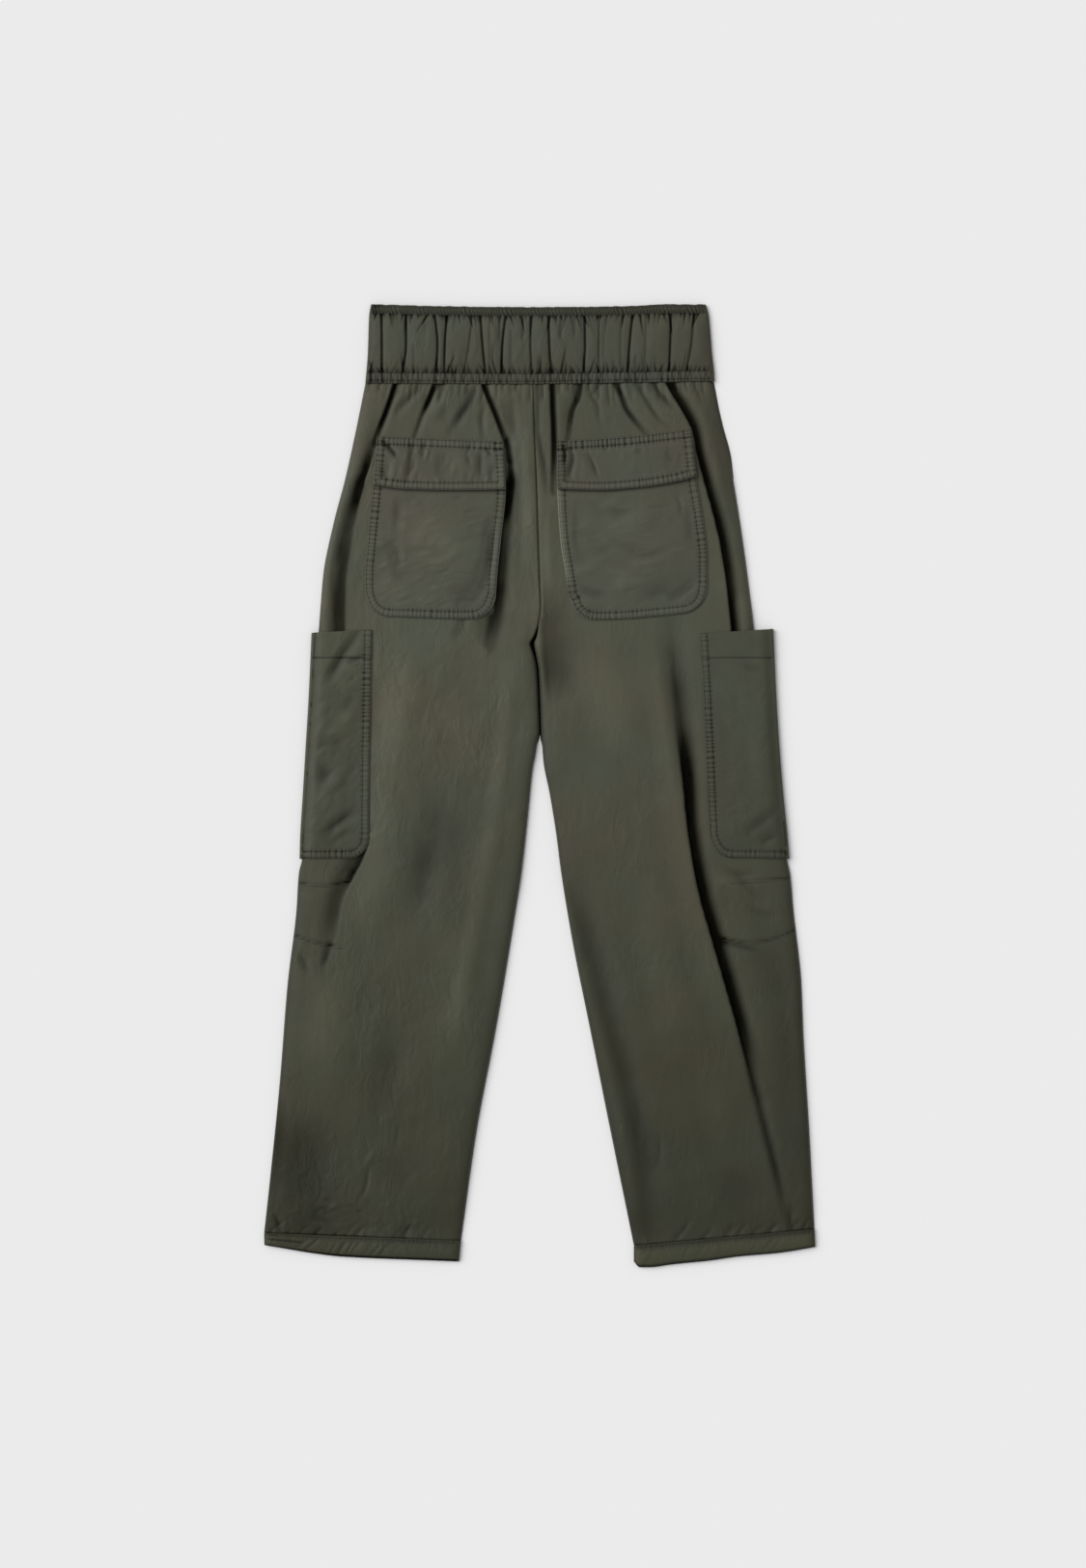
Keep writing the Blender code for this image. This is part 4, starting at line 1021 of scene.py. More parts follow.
def pocket_bag(side):
    """A back pocket without its flap."""
    bag = BAGS[side]
    left_x, right_x = bag_sides(side, BAG_MIDDLE)
    width, length = float(right_x - left_x), bag.mouth[0] - bag.foot[0][1]
    shares = corner_shares(width, BAG_RADIUS, BAG_PITCH)
    columns = len(shares) - 1

    def place(u, v):
        share = np.interp(u * columns, np.arange(columns + 1), shares)
        from_side = np.minimum(share, 1 - share) * width
        foot = curve(bag.foot, share) + corner_rise(from_side, BAG_RADIUS)
        mouth = bag.mouth[0] + share * (bag.mouth[1] - bag.mouth[0])
        y = mouth + v * (foot - mouth)
        x = bag_x(side, share, y)
        return x, y, *bag_height(side, x, y)

    rows = faces_along(length, BAG_PITCH)
    return cloth(f"pocket_{side}", columns, rows, place, (width, length), BAG_THICK)


def bag_stitches(side):
    """The two rows of stitches round a bag."""
    rows = [offset_path(bag_outline(side), inside) for inside in BAG_ROWS]
    return stitches(f"pocket_{side}", rows, lambda x, y: bag_height(side, x, y)[0])


bags = {side: pocket_bag(side) for side in SIDES}
bag_threads = {side: bag_stitches(side) for side in SIDES}
report("pocket bags", bags.values())

# %% [markdown]
# ## Pocket flaps
# A flap is sewn down along its top and hangs free over the pocket's mouth, so its lower edge
# stands a little away from the bag and throws a thin shadow. All four sides are stitched twice.

# %% Creases of the flaps
FLAP_CREASES = {
    "left": (
        crease(((-132, 358), (-135, 336), (-139, 312)), -1.3, 5, 9, sharp=0.2, top=0.6, foot=0.4, gloom=4),
        crease(((-163, 356), (-152, 344), (-145, 334)), -1.8, 4, 6, sharp=0.3, top=0.8, gloom=4),
        crease(((-166, 330), (-160, 322), (-158, 314)), -0.9, 5),
        crease(((-152, 340), (-152, 322), (-150, 312)), 0.7, 6),
        crease(((-61, 352), (-63, 330), (-61, 312)), -1.2, 6, 8, sharp=0.2, gloom=4),
        crease(((-57, 352), (-53, 344), (-48, 338)), -1.2, 4, sharp=0.3, gloom=3),
        crease(((-46, 334), (-50, 320), (-48, 310)), -1.0, 5, 6),
        crease(((-100, 350), (-104, 330), (-101, 312)), -0.7, 7),
        crease(((-84, 350), (-82, 330), (-84, 314)), 0.6, 12),
        crease(((-120, 356), (-122, 344), (-118, 336)), -1.1, 4, 6, top=0.8, gloom=3),
        crease(((-73, 354), (-75, 340), (-71, 326)), -1.0, 5, 4, top=0.6, gloom=3),
        *crinkles(61, 30, (-160, 312), (-45, 352), 78, 22, 0.6, 3.6),
    ),
    "right": (
        crease(((30, 352), (33, 338), (30, 322), (34, 312)), -1.4, 5, 7, sharp=0.3, top=0.5, gloom=4),
        crease(((47, 350), (53, 335), (62, 312)), -1.2, 6, 5, sharp=0.3, gloom=3),
        crease(((66, 352), (70, 344)), -0.7, 4),
        crease(((23, 353), (25, 342), (24, 328)), -2.2, 4, top=0.8, gloom=4),
        crease(((100, 352), (104, 340)), -0.6, 5),
        crease(((128, 356), (134, 340), (132, 326)), -0.6, 7),
        *crinkles(62, 20, (36, 314), (150, 356), 92, 20, 0.32, 3.6),
    ),
}
print("creases of the flaps:", {side: len(FLAP_CREASES[side]) for side in SIDES})

# %% Flaps
FLAP_ROWS = (1.4, 7.6)
FLAP_PITCH = 1.15
FLAP_THICK = 1.1
FLAP_LIFT, FLAP_OPEN, FLAP_DEEPEST = 1.45, 1.9, -0.8
FLAP_SWELL = 1.5  # how much higher a flap lies below its sewn top
FLAP_SEEDS = {"left": (1, 2), "right": (8, 9)}  # of its top's pillows, and of its other sides'
TOP_PUCKER, SIDE_PUCKER = 1.2, 0.9
FLAP_CREASE_TONE, FLAP_TONE = 1.3, -0.1


def flap_edges(side):
    """The flap's edges: its top from right to left, and down, across and up its other sides."""
    bag = BAGS[side]
    share = np.linspace(0, 1, 16)
    edges = (curve(bag.top, share), curve(FLAP_FOOT[side], share))
    top, bottom = (np.column_stack((bag_x(side, share, y), y)) for y in edges)
    left = upright(bag.left, np.linspace(top[0, 1], bottom[0, 1], 6)[:-1])
    right = upright(bag.right, np.linspace(bottom[-1, 1], top[-1, 1], 6)[1:])
    return top[::-1], np.vstack((left, bottom, right))


def flap_height(side, x, y):
    """The top of a flap, and its tone."""
    distances, reliefs, tones = [], [], []
    for edge, seed, pucker in zip(flap_edges(side), FLAP_SEEDS[side], (TOP_PUCKER, SIDE_PUCKER)):
        distance, run, _ = nearest_on(edge, x, y)
        distance = np.maximum(distance, 0.0)
        relief, tone = seam_relief(distance, run, FLAP_ROWS, seed, pucker)
        distances.append(distance)
        reliefs.append(relief)
        tones.append(tone)
    from_top, from_rest = distances
    swell = FLAP_SWELL * smooth_step(FLAP_ROWS[-1], FLAP_ROWS[-1] + 7, from_top)
    open_edge = FLAP_OPEN * smooth_step(16, 0, from_rest) * smooth_step(14, 34, from_top)
    held = smooth_step(1, 8, np.minimum(from_top, from_rest))
    marks, marks_tone, _ = creased(x, y, FLAP_CREASES[side]) * held
    height = pocket_base(side, x, y) + FLAP_LIFT + swell + open_edge
    height += sum(reliefs) + np.maximum(marks, FLAP_DEEPEST)
    # The creases' painted light and shade is made stronger on the flap.
    return height, sum(tones) + FLAP_CREASE_TONE * marks_tone + FLAP_TONE


def flap(side):
    """A flap over a back pocket."""
    high_edge, low_edge = BAGS[side].top, FLAP_FOOT[side]
    top, _ = flap_edges(side)
    width, length = float(top[0, 0] - top[-1, 0]), high_edge[0][1] - low_edge[0][1]

    def place(u, v):
        high, low = curve(high_edge, u), curve(low_edge, u)
        y = high + v * (low - high)
        x = bag_x(side, u, y)
        return x, y, *flap_height(side, x, y)

    columns, rows = faces_along(width, FLAP_PITCH), faces_along(length, FLAP_PITCH)
    return cloth(f"flap_{side}", columns, rows, place, (width, length), FLAP_THICK)


def flap_stitches(side):
    """Two rows of stitches along each side of a flap."""
    rows = [offset_path(edge, inside) for edge in flap_edges(side) for inside in FLAP_ROWS]
    return stitches(f"flap_{side}", rows, lambda x, y: flap_height(side, x, y)[0])


flaps = {side: flap(side) for side in SIDES}
flap_threads = {side: flap_stitches(side) for side in SIDES}
report("flaps", flaps.values())

# %% [markdown]
# ## Cargo pockets
# A cargo pocket wraps round the side seam: its back half lies on the leg, it folds at the outside,
# and its front half lies under the leg. One grid makes all three. Its columns run from the sewn
# edge on the back, round the fold, to the sewn edge on the front.

# %% Creases of the cargo pockets
CARGO_CREASES = {
    "left": (
        crease(((-188, 160), (-196, 147), (-205, 135), (-214, 118), (-225, 96)),
               -1.7, 8, 10, top=0.6, gloom=8),
        crease(((-182, 134), (-192, 130), (-202, 134)), -1.2, 4, 6, sharp=0.3, top=0.6, gloom=4),
        crease(((-206, 124), (-192, 120), (-184, 124)), 0.8, 6),
        crease(((-236, 36), (-218, 44), (-198, 41)), -1.2, 9, 12, gloom=12),
        crease(((-232, 34), (-224, 14), (-214, -2)), -1.2, 12, 12),
        crease(((-190, 84), (-205, 60), (-224, 48)), 1.0, 12, 12),
        crease(((-186, 40), (-196, 10), (-212, -8)), -0.8, 9, 12),
        crease(((-206, 10), (-220, -4), (-232, -6)), 0.9, 10),
        crease(((-182, -20), (-204, -34), (-234, -56)), -1.7, 9, 11, gloom=7),
        crease(((-188, -44), (-206, -54), (-222, -66)), -0.8, 7),
        crease(((-230, 140), (-234, 100), (-236, 60)), -0.6, 8),
        *crinkles(71, 40, (-240, -64), (-184, 124), 50, 24, 0.38, 4.2),
        *crinkles(73, 16, (-236, -60), (-190, 120), 36, 40, 0.9, 12.0),
    ),
    "right": (
        crease(((204, 126), (222, 120), (240, 116)), -0.8, 6),
        crease(((250, -16), (234, -34), (206, -56)), -1.3, 11, 8, sharp=0.2),
        crease(((252, -48), (238, -54), (224, -62)), -1.0, 8, gloom=5),
        crease(((190, 110), (194, 20), (200, -40)), -0.5, 14, 16),
        crease(((222, 90), (226, 20), (228, -20)), 0.6, 14, 14),
        *crinkles(72, 12, (188, -60), (242, 120), 120, 30, 0.3, 6.0),
    ),
}
print("creases of the cargo pockets:", {side: len(CARGO_CREASES[side]) for side in SIDES})

# %% Edge and height of the cargo pockets
# (sewn edge's y, fold's y) of each pocket's top and of its foot.
CARGO_ENDS = {"left": ((161.0, 158.0), (-75.5, -76.0)), "right": ((157.0, 162.0), (-75.0, -76.0))}
CARGO_RADIUS = 22.0
CARGO_ROWS = (1.3, 7.2)
CARGO_SEEDS = {"left": 4, "right": 9}
CARGO_PUCKER = 1.1
CARGO_LIFT, CARGO_BULGE = 1.3, 1.3
CARGO_HIGH, CARGO_LENGTH = 162.0, 238.0
CARGO_HEM = CARGO_HIGH - 30.0  # the line of stitches that holds the turned top
HEM_STEP, HEM_GROOVE, HEM_GROOVE_WIDTH, HEM_GROOVE_SHADE = 0.35, 0.35, 0.9, 0.8
FOLD_ROUNDING = 18.0
LAYERS_SINK = 8  # how far from the fold the two layers sink together


def cargo_spot(side, share, v):
    """A flat spot of the back half of a cargo pocket: share 0 at its sewn edge, 1 at its fold."""
    (edge_top, fold_top), (edge_low, fold_low) = CARGO_ENDS[side]
    edge_y = edge_top + v * (edge_low - edge_top)
    fold_y = fold_top + v * (fold_low - fold_top)
    start, end = curve(CARGO_EDGES[side], edge_y), curve(CARGO_OUTER[side], fold_y)
    lift = corner_rise(share * np.abs(end - start), CARGO_RADIUS) * smooth_step(0.0, 1.0, v) ** 3
    return start + share * (end - start), edge_y + share * (fold_y - edge_y) + lift


def cargo_outline(side):
    """The sewn edge of the back half: down beside the leg, round the corner and out to the fold."""
    (edge_top, _), (edge_low, _) = CARGO_ENDS[side]
    down = upright(CARGO_EDGES[side], np.linspace(edge_top, edge_low + CARGO_RADIUS, 24))
    # Closer points round the corner, then even ones.
    corner = np.linspace(0, 0.32, 9)[1:] ** 1.5 / 0.32**0.5
    shares = np.concatenate((corner, np.linspace(0.4, 1.0, 7)))
    foot = np.column_stack(cargo_spot(side, shares, np.ones(len(shares))))
    return np.vstack((down, foot))[:: -OUTWARDS[side]]


def cargo_height(side, x, y):
    """The top of a cargo pocket's back half, and its tone."""
    distance, run, _ = nearest_on(cargo_outline(side), x, y)
    inside = np.maximum(-distance, 0.0)
    relief, tone = seam_relief(inside, run, CARGO_ROWS, CARGO_SEEDS[side], CARGO_PUCKER)
    # The pocket is stiffer than the leg, so it bridges the leg's folds. Past the leg it is only
    # two layers, which sink towards the fold.
    from_fold = np.clip((curve(CARGO_OUTER[side], y) - x) * OUTWARDS[side], 0, None)
    level = EDGE_TOP + POCKET_LIFT + CARGO_CROWN * quarter_round(from_fold, FOLD_ROUNDING)
    level = level - smooth_step(LAYERS_SINK, 0, from_fold)
    on_leg = (curve(LEG_EDGES[side]["outer"], y) - x) * OUTWARDS[side] > 1
    base = np.maximum(level, np.where(on_leg, leg_height(side, x, y), 0.0)) + CARGO_LIFT
    down = np.clip((CARGO_HIGH - y) / CARGO_LENGTH, 0, 1)
    bulge = CARGO_BULGE * np.sin(math.pi * down) * smooth_step(6, 34, inside)
    bulge = bulge * smooth_step(0, 16, from_fold)
    held = smooth_step(2, 12, inside) * smooth_step(0, 12, from_fold)
    marks, marks_tone, _ = creased(x, y, CARGO_CREASES[side]) * held
    # The groove below the turned top, and the pocket's rolled fold, get painted shade.
    groove = bell(y - CARGO_HEM, HEM_GROOVE_WIDTH)
    step = HEM_STEP * smooth_step(CARGO_HEM - 1, CARGO_HEM + 1, y) - HEM_GROOVE * groove
    edge_shade = EDGE_SHADE[SIDES.index(side)] * smooth_step(12, 0, from_fold)
    return base + relief + bulge + marks + step, tone + marks_tone - edge_shade - HEM_GROOVE_SHADE * groove


print("edge of a cargo pocket:", len(cargo_outline("left")), "points")

# %% Cargo pockets
CARGO_PITCH = 1.3
CARGO_THICK = 0.8
CARGO_COLUMNS = (56, 9, 22)  # on the back, round the fold and on the front
CARGO_WIDTH = 165
ROLL_START, ROLL_END = 12, 2.4  # how far inside the fold the back half starts to roll, and is level


def cargo_pocket(side):
    """A cargo pocket, from its sewn edge on the back, round its fold, to the one on the front."""
    back, turn, front = CARGO_COLUMNS
    columns = sum(CARGO_COLUMNS)
    length = CARGO_ENDS[side][0][0] - CARGO_ENDS[side][1][0]

    def place(u, v):
        step = (1 - u if side == "left" else u) * columns
        # Back half: closer columns near the sewn edge, whose corner is round.
        share = np.clip(step / back, 0, 1)
        share = 0.35 * share + 0.65 * share**1.6
        half_turn = np.clip((step - back) / turn, 0, 1) * math.pi
        share_front = np.clip((step - back - turn) / front, 0, 1)
        share = np.where(step > back + turn, 1 - share_front**0.75, share)
        x, y = cargo_spot(side, share, v)
        fold_x, fold_y = cargo_spot(side, np.ones_like(share), v)
        fold_top, _ = cargo_height(side, fold_x - OUTWARDS[side] * ROLL_END, fold_y)
        radius = fold_top / 2
        away = (fold_x - x) * OUTWARDS[side]
        x = np.where(away < radius, fold_x - OUTWARDS[side] * radius, x)
        z, tone = cargo_height(side, x, y)
        z = z + (fold_top - z) * smooth_step(ROLL_START, ROLL_END, away)
        on_turn, under = (step > back) & (step < back + turn), step >= back + turn
        x = np.where(on_turn, fold_x - OUTWARDS[side] * radius * (1 - np.sin(half_turn)), x)
        y = np.where(on_turn, fold_y, y)
        z = np.where(on_turn, radius * (1 + np.cos(half_turn)), z)
        return x, y, np.where(under, 0.0, z), np.where(under | on_turn, 0.0, tone)

    rows = faces_along(length, CARGO_PITCH)
    return cloth(f"cargo_{side}", columns, rows, place, (CARGO_WIDTH, length), CARGO_THICK)


def cargo_stitches(side):
    """Two rows along the sewn edge and one across, below the turned top."""
    rows = [offset_path(cargo_outline(side), -inside) for inside in CARGO_ROWS]
    edge = float(curve(CARGO_EDGES[side], CARGO_HEM)) + OUTWARDS[side] * 4
    fold = float(curve(CARGO_OUTER[side], CARGO_HEM)) - OUTWARDS[side] * 3
    across = np.linspace(edge, fold, 12)
    rows.append(np.column_stack((across, np.full(12, CARGO_HEM))))
    return stitches(f"cargo_{side}", rows, lambda x, y: cargo_height(side, x, y)[0])


cargos = {side: cargo_pocket(side) for side in SIDES}
cargo_threads = {side: cargo_stitches(side) for side in SIDES}
report("cargo pockets", cargos.values())

# %% [markdown]
# ## Flattened rings
# The waistband and the hems are tubes that lie flat. Their grid is rolled round: columns run along
# the upper side, round one end, back along the underside and round the other end, and the last
# column is welded to the first. One helper says where each column stands on that ring.

# %% Ring columns
TUBE_HEIGHT = 4.4
UNDER_TONE = 0.4  # how much of its tone the underside of a ring has
TUBE_THREAD_LIFT = 0.1


def ring(u, upper, turn, lower):
    """For columns round a flat ring: which way across each stands, its height as a share of the
    tube, how far it stands out past the flat part, and whether it is on the upper side."""
    step = u * (upper + lower + 2 * turn)
    on_top = step <= upper
    right = np.clip((step - upper) / turn, 0, 1) * math.pi
    under = np.clip((step - upper - turn) / lower, 0, 1)
    left = np.clip((step - upper - turn - lower) / turn, 0, 1) * math.pi
    share = np.where(on_top, step / upper, 1 - under)
    height = np.where(left > 0, (1 - np.cos(left)) / 2, (1 + np.cos(right)) / 2)
    out = np.where(left > 0, -np.sin(left), np.sin(right))
    return np.clip(share, 0, 1), height, out, on_top


print("columns on the upper side of a ring:", ring(np.linspace(0, 1, 9), 4, 1, 4)[3].sum(), "of 9")

# %% [markdown]
# ## Elastic waistband
# The band's cloth is half as long again as its elastic, so it gathers. Between the two lines of
# stitching it swells into pillows, parted by sharp folds that run nearly straight down. Short
# gathers start at each line of stitching and fade towards the middle, and the narrow header above
# the upper line is ruched all along.

# %% Waistband's edges
BAND_TOP, BAND_SAG, BAND_HALF = 498.0, 2.9, 172.5
BAND_HUMP = (1.2, 128, 26)  # height, place and width of a low rise of the top edge
BAND_LEFT = ((498, -174.5), (484, -177), (444, -178.5), (423, -180.3), (416, -181))
BAND_RIGHT = ((498, 170.5), (484, 174.5), (444, 178), (423, 180.3), (418, 180.5))
BAND_SWELL = (
    (0.0, 0.1), (0.06, 0.38), (0.115, 0.12), (0.18, 0.6), (0.34, 1.0), (0.5, 1.05), (0.66, 1.0),
    (0.8, 0.7), (0.865, 0.22), (0.925, 0.3), (1.0, 0.14),
)
BAND_ROWS = (0.115, 0.865, 0.965)


def band_y(x, down):
    """A height on the band, from its sagging top edge down to its seam."""
    hump, hump_x, hump_width = BAND_HUMP
    top = BAND_TOP - BAND_SAG * np.clip(1 - (x / BAND_HALF) ** 2, 0, None)
    top = top + hump * bell(x - hump_x, hump_width)
    seams = []
    for side in SIDES:
        inner_y, outer_y = LEG_ENDS[side][0]
        inner_x, outer_x = LEG_EDGES[side]["inner"][0][1], LEG_EDGES[side]["outer"][0][1]
        seams.append(inner_y + (outer_y - inner_y) * (x - inner_x) / (outer_x - inner_x))
    low = np.where(x < LEG_EDGES["left"]["inner"][0][1], *seams)
    return top + down * (low + GAP - top)


print("waistband's height at its middle:", round(float(band_y(0, 0) - band_y(0, 1)), 1), "mm")

# %% Waistband's folds
Fold = namedtuple("Fold", "top middle low depth")
# Where each fold crosses the header's stitching, the middle of the band and its lower stitching.
BAND_FOLDS = (
    Fold(-164.5, -163.5, -163.5, 1.0), Fold(-138.5, -138.5, -144.5, 1.0),
    Fold(-110.5, -106.0, -109.5, 1.0), Fold(-95.5, -98.5, -99.5, 1.0),
    Fold(-69.5, -73.5, -81.5, 0.55), Fold(-62.5, -59.5, -55.5, 1.0),
    Fold(-34.5, -39.0, -40.5, 1.0), Fold(-10.0, -10.0, -7.5, 0.8),
    Fold(8.5, 9.5, 12.5, 1.0), Fold(45.5, 46.5, 43.5, 0.95),
    Fold(61.5, 60.5, 60.5, 0.6), Fold(96.5, 92.5, 89.5, 1.0),
    Fold(135.5, 134.5, 132.5, 0.95), Fold(159.5, 156.5, 148.5, 0.7),
)
# Folds that fade before one of the lines of stitching: (top x, low x, start, end, depth).
BAND_CREASES = (
    (-52.0, -52.0, 0.14, 0.9, 0.35), (-47.0, -50.0, 0.5, 0.95, 0.35), (-41.5, -42.5, 0.1, 0.45, 0.7),
    (-17.5, -18.5, 0.1, 0.45, 0.6), (-29.0, -31.0, 0.3, 0.95, 0.35), (3.0, -3.0, 0.65, 0.95, 0.6),
    (21.5, 20.5, 0.1, 0.42, 0.6), (34.0, 39.0, 0.1, 0.4, 0.55), (84.0, 83.0, 0.1, 0.9, 0.4),
    (110.5, 108.0, 0.1, 0.95, 0.4), (67.0, 64.5, 0.1, 0.7, 0.3), (28.0, 26.0, 0.5, 0.95, 0.3),
    (-131.0, -130.0, 0.5, 0.95, 0.3), (-88.0, -90.0, 0.6, 0.95, 0.3), (77.0, 76.0, 0.7, 0.97, 0.5),
    (100.0, 98.0, 0.65, 0.96, 0.45), (121.0, 119.0, 0.7, 0.96, 0.4), (-120.0, -117.0, 0.1, 0.35, 0.3),
)
# A fold is a sharp groove in a soft one: the share of the puff that each takes, and its width.
FOLD_SHAPES = ((0.16, 2.8), (0.2, 11.0))
# Each fold's line is painted dark as shade, with a painted highlight, FOLD_SHINE, a little to its right; a
# crease's line gets a fainter painted shade.
FOLD_SHADE, FOLD_SHADE_WIDTH = 1.5, 2.1
FOLD_SHINE, FOLD_SHINE_PLACE, FOLD_SHINE_WIDTH = 0.25, 4.5, 2.2
CREASE_DEPTH, CREASE_SHADE, CREASE_WIDTH = 0.4, 0.9, 5.0


def wedge(distance, width):
    """1 on a line, and falling straight to 0 at a width from it."""
    return np.clip(1 - distance / width, 0, 1)


def band_folds(x, down):
    """How deep the band's folds and creases cut into its puff, and how dark their lines are painted as shade,
    less a painted highlight beside each fold.
    """
    deep, line = np.zeros(x.shape), np.zeros(x.shape)
    for fold in BAND_FOLDS:
        offset = x - curve(((0, fold.top), (0.5, fold.middle), (1, fold.low)), down)
        away = np.abs(offset)
        shape = sum(share * wedge(away, width) ** 2 for share, width in FOLD_SHAPES)
        painted_shade = np.clip(FOLD_SHADE - FOLD_SHADE * away / FOLD_SHADE_WIDTH, 0, 1)
        deep = np.maximum(deep, fold.depth * shape)
        line = np.maximum(line, fold.depth * painted_shade)
        line = line - FOLD_SHINE * fold.depth * bell(offset - FOLD_SHINE_PLACE, FOLD_SHINE_WIDTH)
    for top_x, low_x, start, end, depth in BAND_CREASES:
        t = np.clip(np.abs(x - top_x - (low_x - top_x) * down) / CREASE_WIDTH, 0, 1)
        fade = smooth_step(start - 0.06, start + 0.08, down) * smooth_step(end + 0.06, end - 0.08, down)
        deep = np.maximum(deep, CREASE_DEPTH * depth * fade * (1 - t) ** 2)
        line = np.maximum(line, CREASE_SHADE * depth * fade * np.clip(1 - 2 * t, 0, 1))
    return deep, line


print("folds of the waistband:", len(BAND_FOLDS))

# %% Waistband's gathers


def short_gathers(seed, pitch, start, end):
    """Random places, lengths, leans and depths of the gathers along a line of stitching."""
    random = np.random.default_rng(seed)
    found, x = [], start
    while x < end:
        length = random.uniform(0.06, 0.16) * random.choice((1, 1, 1, 2))
        found.append((x, length, random.normal(0, 4.0), random.uniform(0.4, 1.1)))
        x += pitch * random.uniform(0.5, 1.6)
    return found


# The gathers below the header's stitching, and those above the lower line.
GATHERS = (
    (short_gathers(81, 4.4, -170, 168), BAND_ROWS[0], 1),
    (short_gathers(82, 3.9, -176, 176), BAND_ROWS[1], -1),
)


def band_gathers(x, down):
    """How deep the short gathers are along the two lines of stitching."""
    fine = np.zeros(x.shape)
    for gathers, line, way in GATHERS:
        away = (down - line) * way
        for spot, length, lean, depth in gathers:
            fade = np.where(away > 0, wedge(away, length), 0.0)
            t = np.clip(np.abs(x - spot - lean * away / 0.2) / (0.9 + 1.5 * fade), 0, 1)
            fine = np.maximum(fine, depth * np.sqrt(fade) * (1 - t))
    return fine


print("gathers:", [len(gathers) for gathers, _, _ in GATHERS])

# %% Waistband's height
BAND_PUFF, BAND_DEEPEST = 4.2, -0.6
# How deep each part of the relief is in millimetres, and how much painted shade it puts on the cloth.
Depth = namedtuple("Depth", "height tone")
GATHER, RUCHE, SEAM_RUCHE, ROW = Depth(0.7, 2.6), Depth(0.55, 1.5), Depth(0.7, 1.7), Depth(0.35, 0.8)
BAND_TONE, BAND_SEAM_TONE, HEADER_TONE, FOLD_TONE, TOP_TONE = 0.34, 0.15, -0.4, -2.0, -0.7
ROW_THICK = 0.8 / 82  # a line of stitches, as a share of the band's height
TOP_EDGE = (0.03, 0.045)


def band_relief(x, down):
    """The upper side of the band above its flat tube, and its tone."""
    deep, line = band_folds(x, down)
    header = smooth_step(BAND_ROWS[0] + 0.005, BAND_ROWS[0] - 0.01, down)
    seam = smooth_step(BAND_ROWS[1] - 0.01, BAND_ROWS[1] + 0.005, down)
    tunnel = (1 - header) * (1 - seam)
    fine = band_gathers(x, down) * tunnel
    ruche = (1 - pillows(x - 34 * down, 3, 3.3) ** 1.5) * smooth_step(0.025, 0.045, down) * header
    seam_ruche = 1 - (pillows(x - 16 * down, 6, 6.1) * pillows(x + 10 * down, 2, 3.7)) ** 1.2
    seam_ruche = seam_ruche * (0.25 + 0.75 * pillows(x + 20 * down, 2, 17.0)) * seam
    rows = sum(bell(down - row, ROW_THICK) for row in BAND_ROWS)
    height = BAND_PUFF * curve(BAND_SWELL, down) * (1 - deep * (tunnel + 0.35 * seam))
    tone = BAND_TONE + BAND_SEAM_TONE * seam + HEADER_TONE * header
    for part, depth in ((fine, GATHER), (ruche, RUCHE), (seam_ruche, SEAM_RUCHE), (rows, ROW)):
        height -= depth.height * part
        tone -= depth.tone * part
    # The folds' lines get painted shade, with a painted highlight beside each fold.
    tone += FOLD_TONE * line * (tunnel + 0.3 * seam) + TOP_TONE * smooth_step(*TOP_EDGE[::-1], down)
    return np.maximum(height, BAND_DEEPEST), tone


middle = np.array([0.5])
print("relief of the band's middle:", band_relief(np.zeros(1), middle)[0].round(2), "mm")

# %% Elastic waistband
BAND_COLUMNS, BAND_FACES_DOWN = (400, 8, 88), 58
BAND_THICK = 1.3
BAND_CUT = (980, 83)
PRESSED, PRESSED_SHARE, PRESSED_MOST = 0.9, 0.22, 0.8
LEFT_END_SHADE = 0.6


def waistband():
    """The elastic band, as a flattened ring."""
    upper, turn, lower = BAND_COLUMNS
    reach = TUBE_HEIGHT / 2

    def place(u, v):
        share, height, out, on_top = ring(u, upper, turn, lower)
        middle_y = band_y(0.0, v)
        left_x, right_x = curve(BAND_LEFT, middle_y) + reach, curve(BAND_RIGHT, middle_y) - reach
        x = left_x + share * (right_x - left_x) + out * reach
        inside = np.minimum(x - left_x, right_x - x)
        relief, tone = band_relief(x, v)
        relief = relief * quarter_round(np.clip(inside, 0, None), ROUNDING)
        z = TUBE_HEIGHT * height + np.where(on_top, relief, 0.0)
        # The underside rests on the surface, and its folds are pressed up from it.
        pressed = np.clip(PRESSED - PRESSED_SHARE * (BAND_PUFF + relief), 0, PRESSED_MOST) * (height < 0.02)
        # The band's left end is painted darker, as shade.
        tone = tone - LEFT_END_SHADE * smooth_step(14, 0, x - left_x)
        # The very edge is a little uneven.
        y = band_y(x, v) + 0.3 * ripple(x, 0 * x, 9, 7) * smooth_step(0.1, 0.0, v)
        return x, y, z + pressed, np.where(on_top, tone, UNDER_TONE * tone)

    columns = upper + lower + 2 * turn
    return cloth("waistband", columns, BAND_FACES_DOWN, place, BAND_CUT, BAND_THICK, closed)


def band_height(x, y):
    """The top of the band at a flat spot."""
    top, low = band_y(x, 0.0), band_y(x, 1.0)
    down = (top - y) / (top - low)
    middle_y = band_y(0.0, down)
    inside = np.minimum(x - curve(BAND_LEFT, middle_y), curve(BAND_RIGHT, middle_y) - x) - TUBE_HEIGHT / 2
    return TUBE_HEIGHT + band_relief(x, down)[0] * quarter_round(np.clip(inside, 0, None), ROUNDING)


def band_stitches():
    """Three rows of stitches across the band, the upper one shorter, as the band is there."""
    ends = ((-172, 170), (-177.5, 177.5), (-177.5, 177.5))
    rows = []
    for (start, end), down in zip(ends, BAND_ROWS):
        x = np.linspace(start, end, 60)
        rows.append(np.column_stack((x, band_y(x, down))))
    return stitches("waistband", rows, band_height, TUBE_THREAD_LIFT)


band = waistband()
band_thread = band_stitches()
report("waistband", [band])

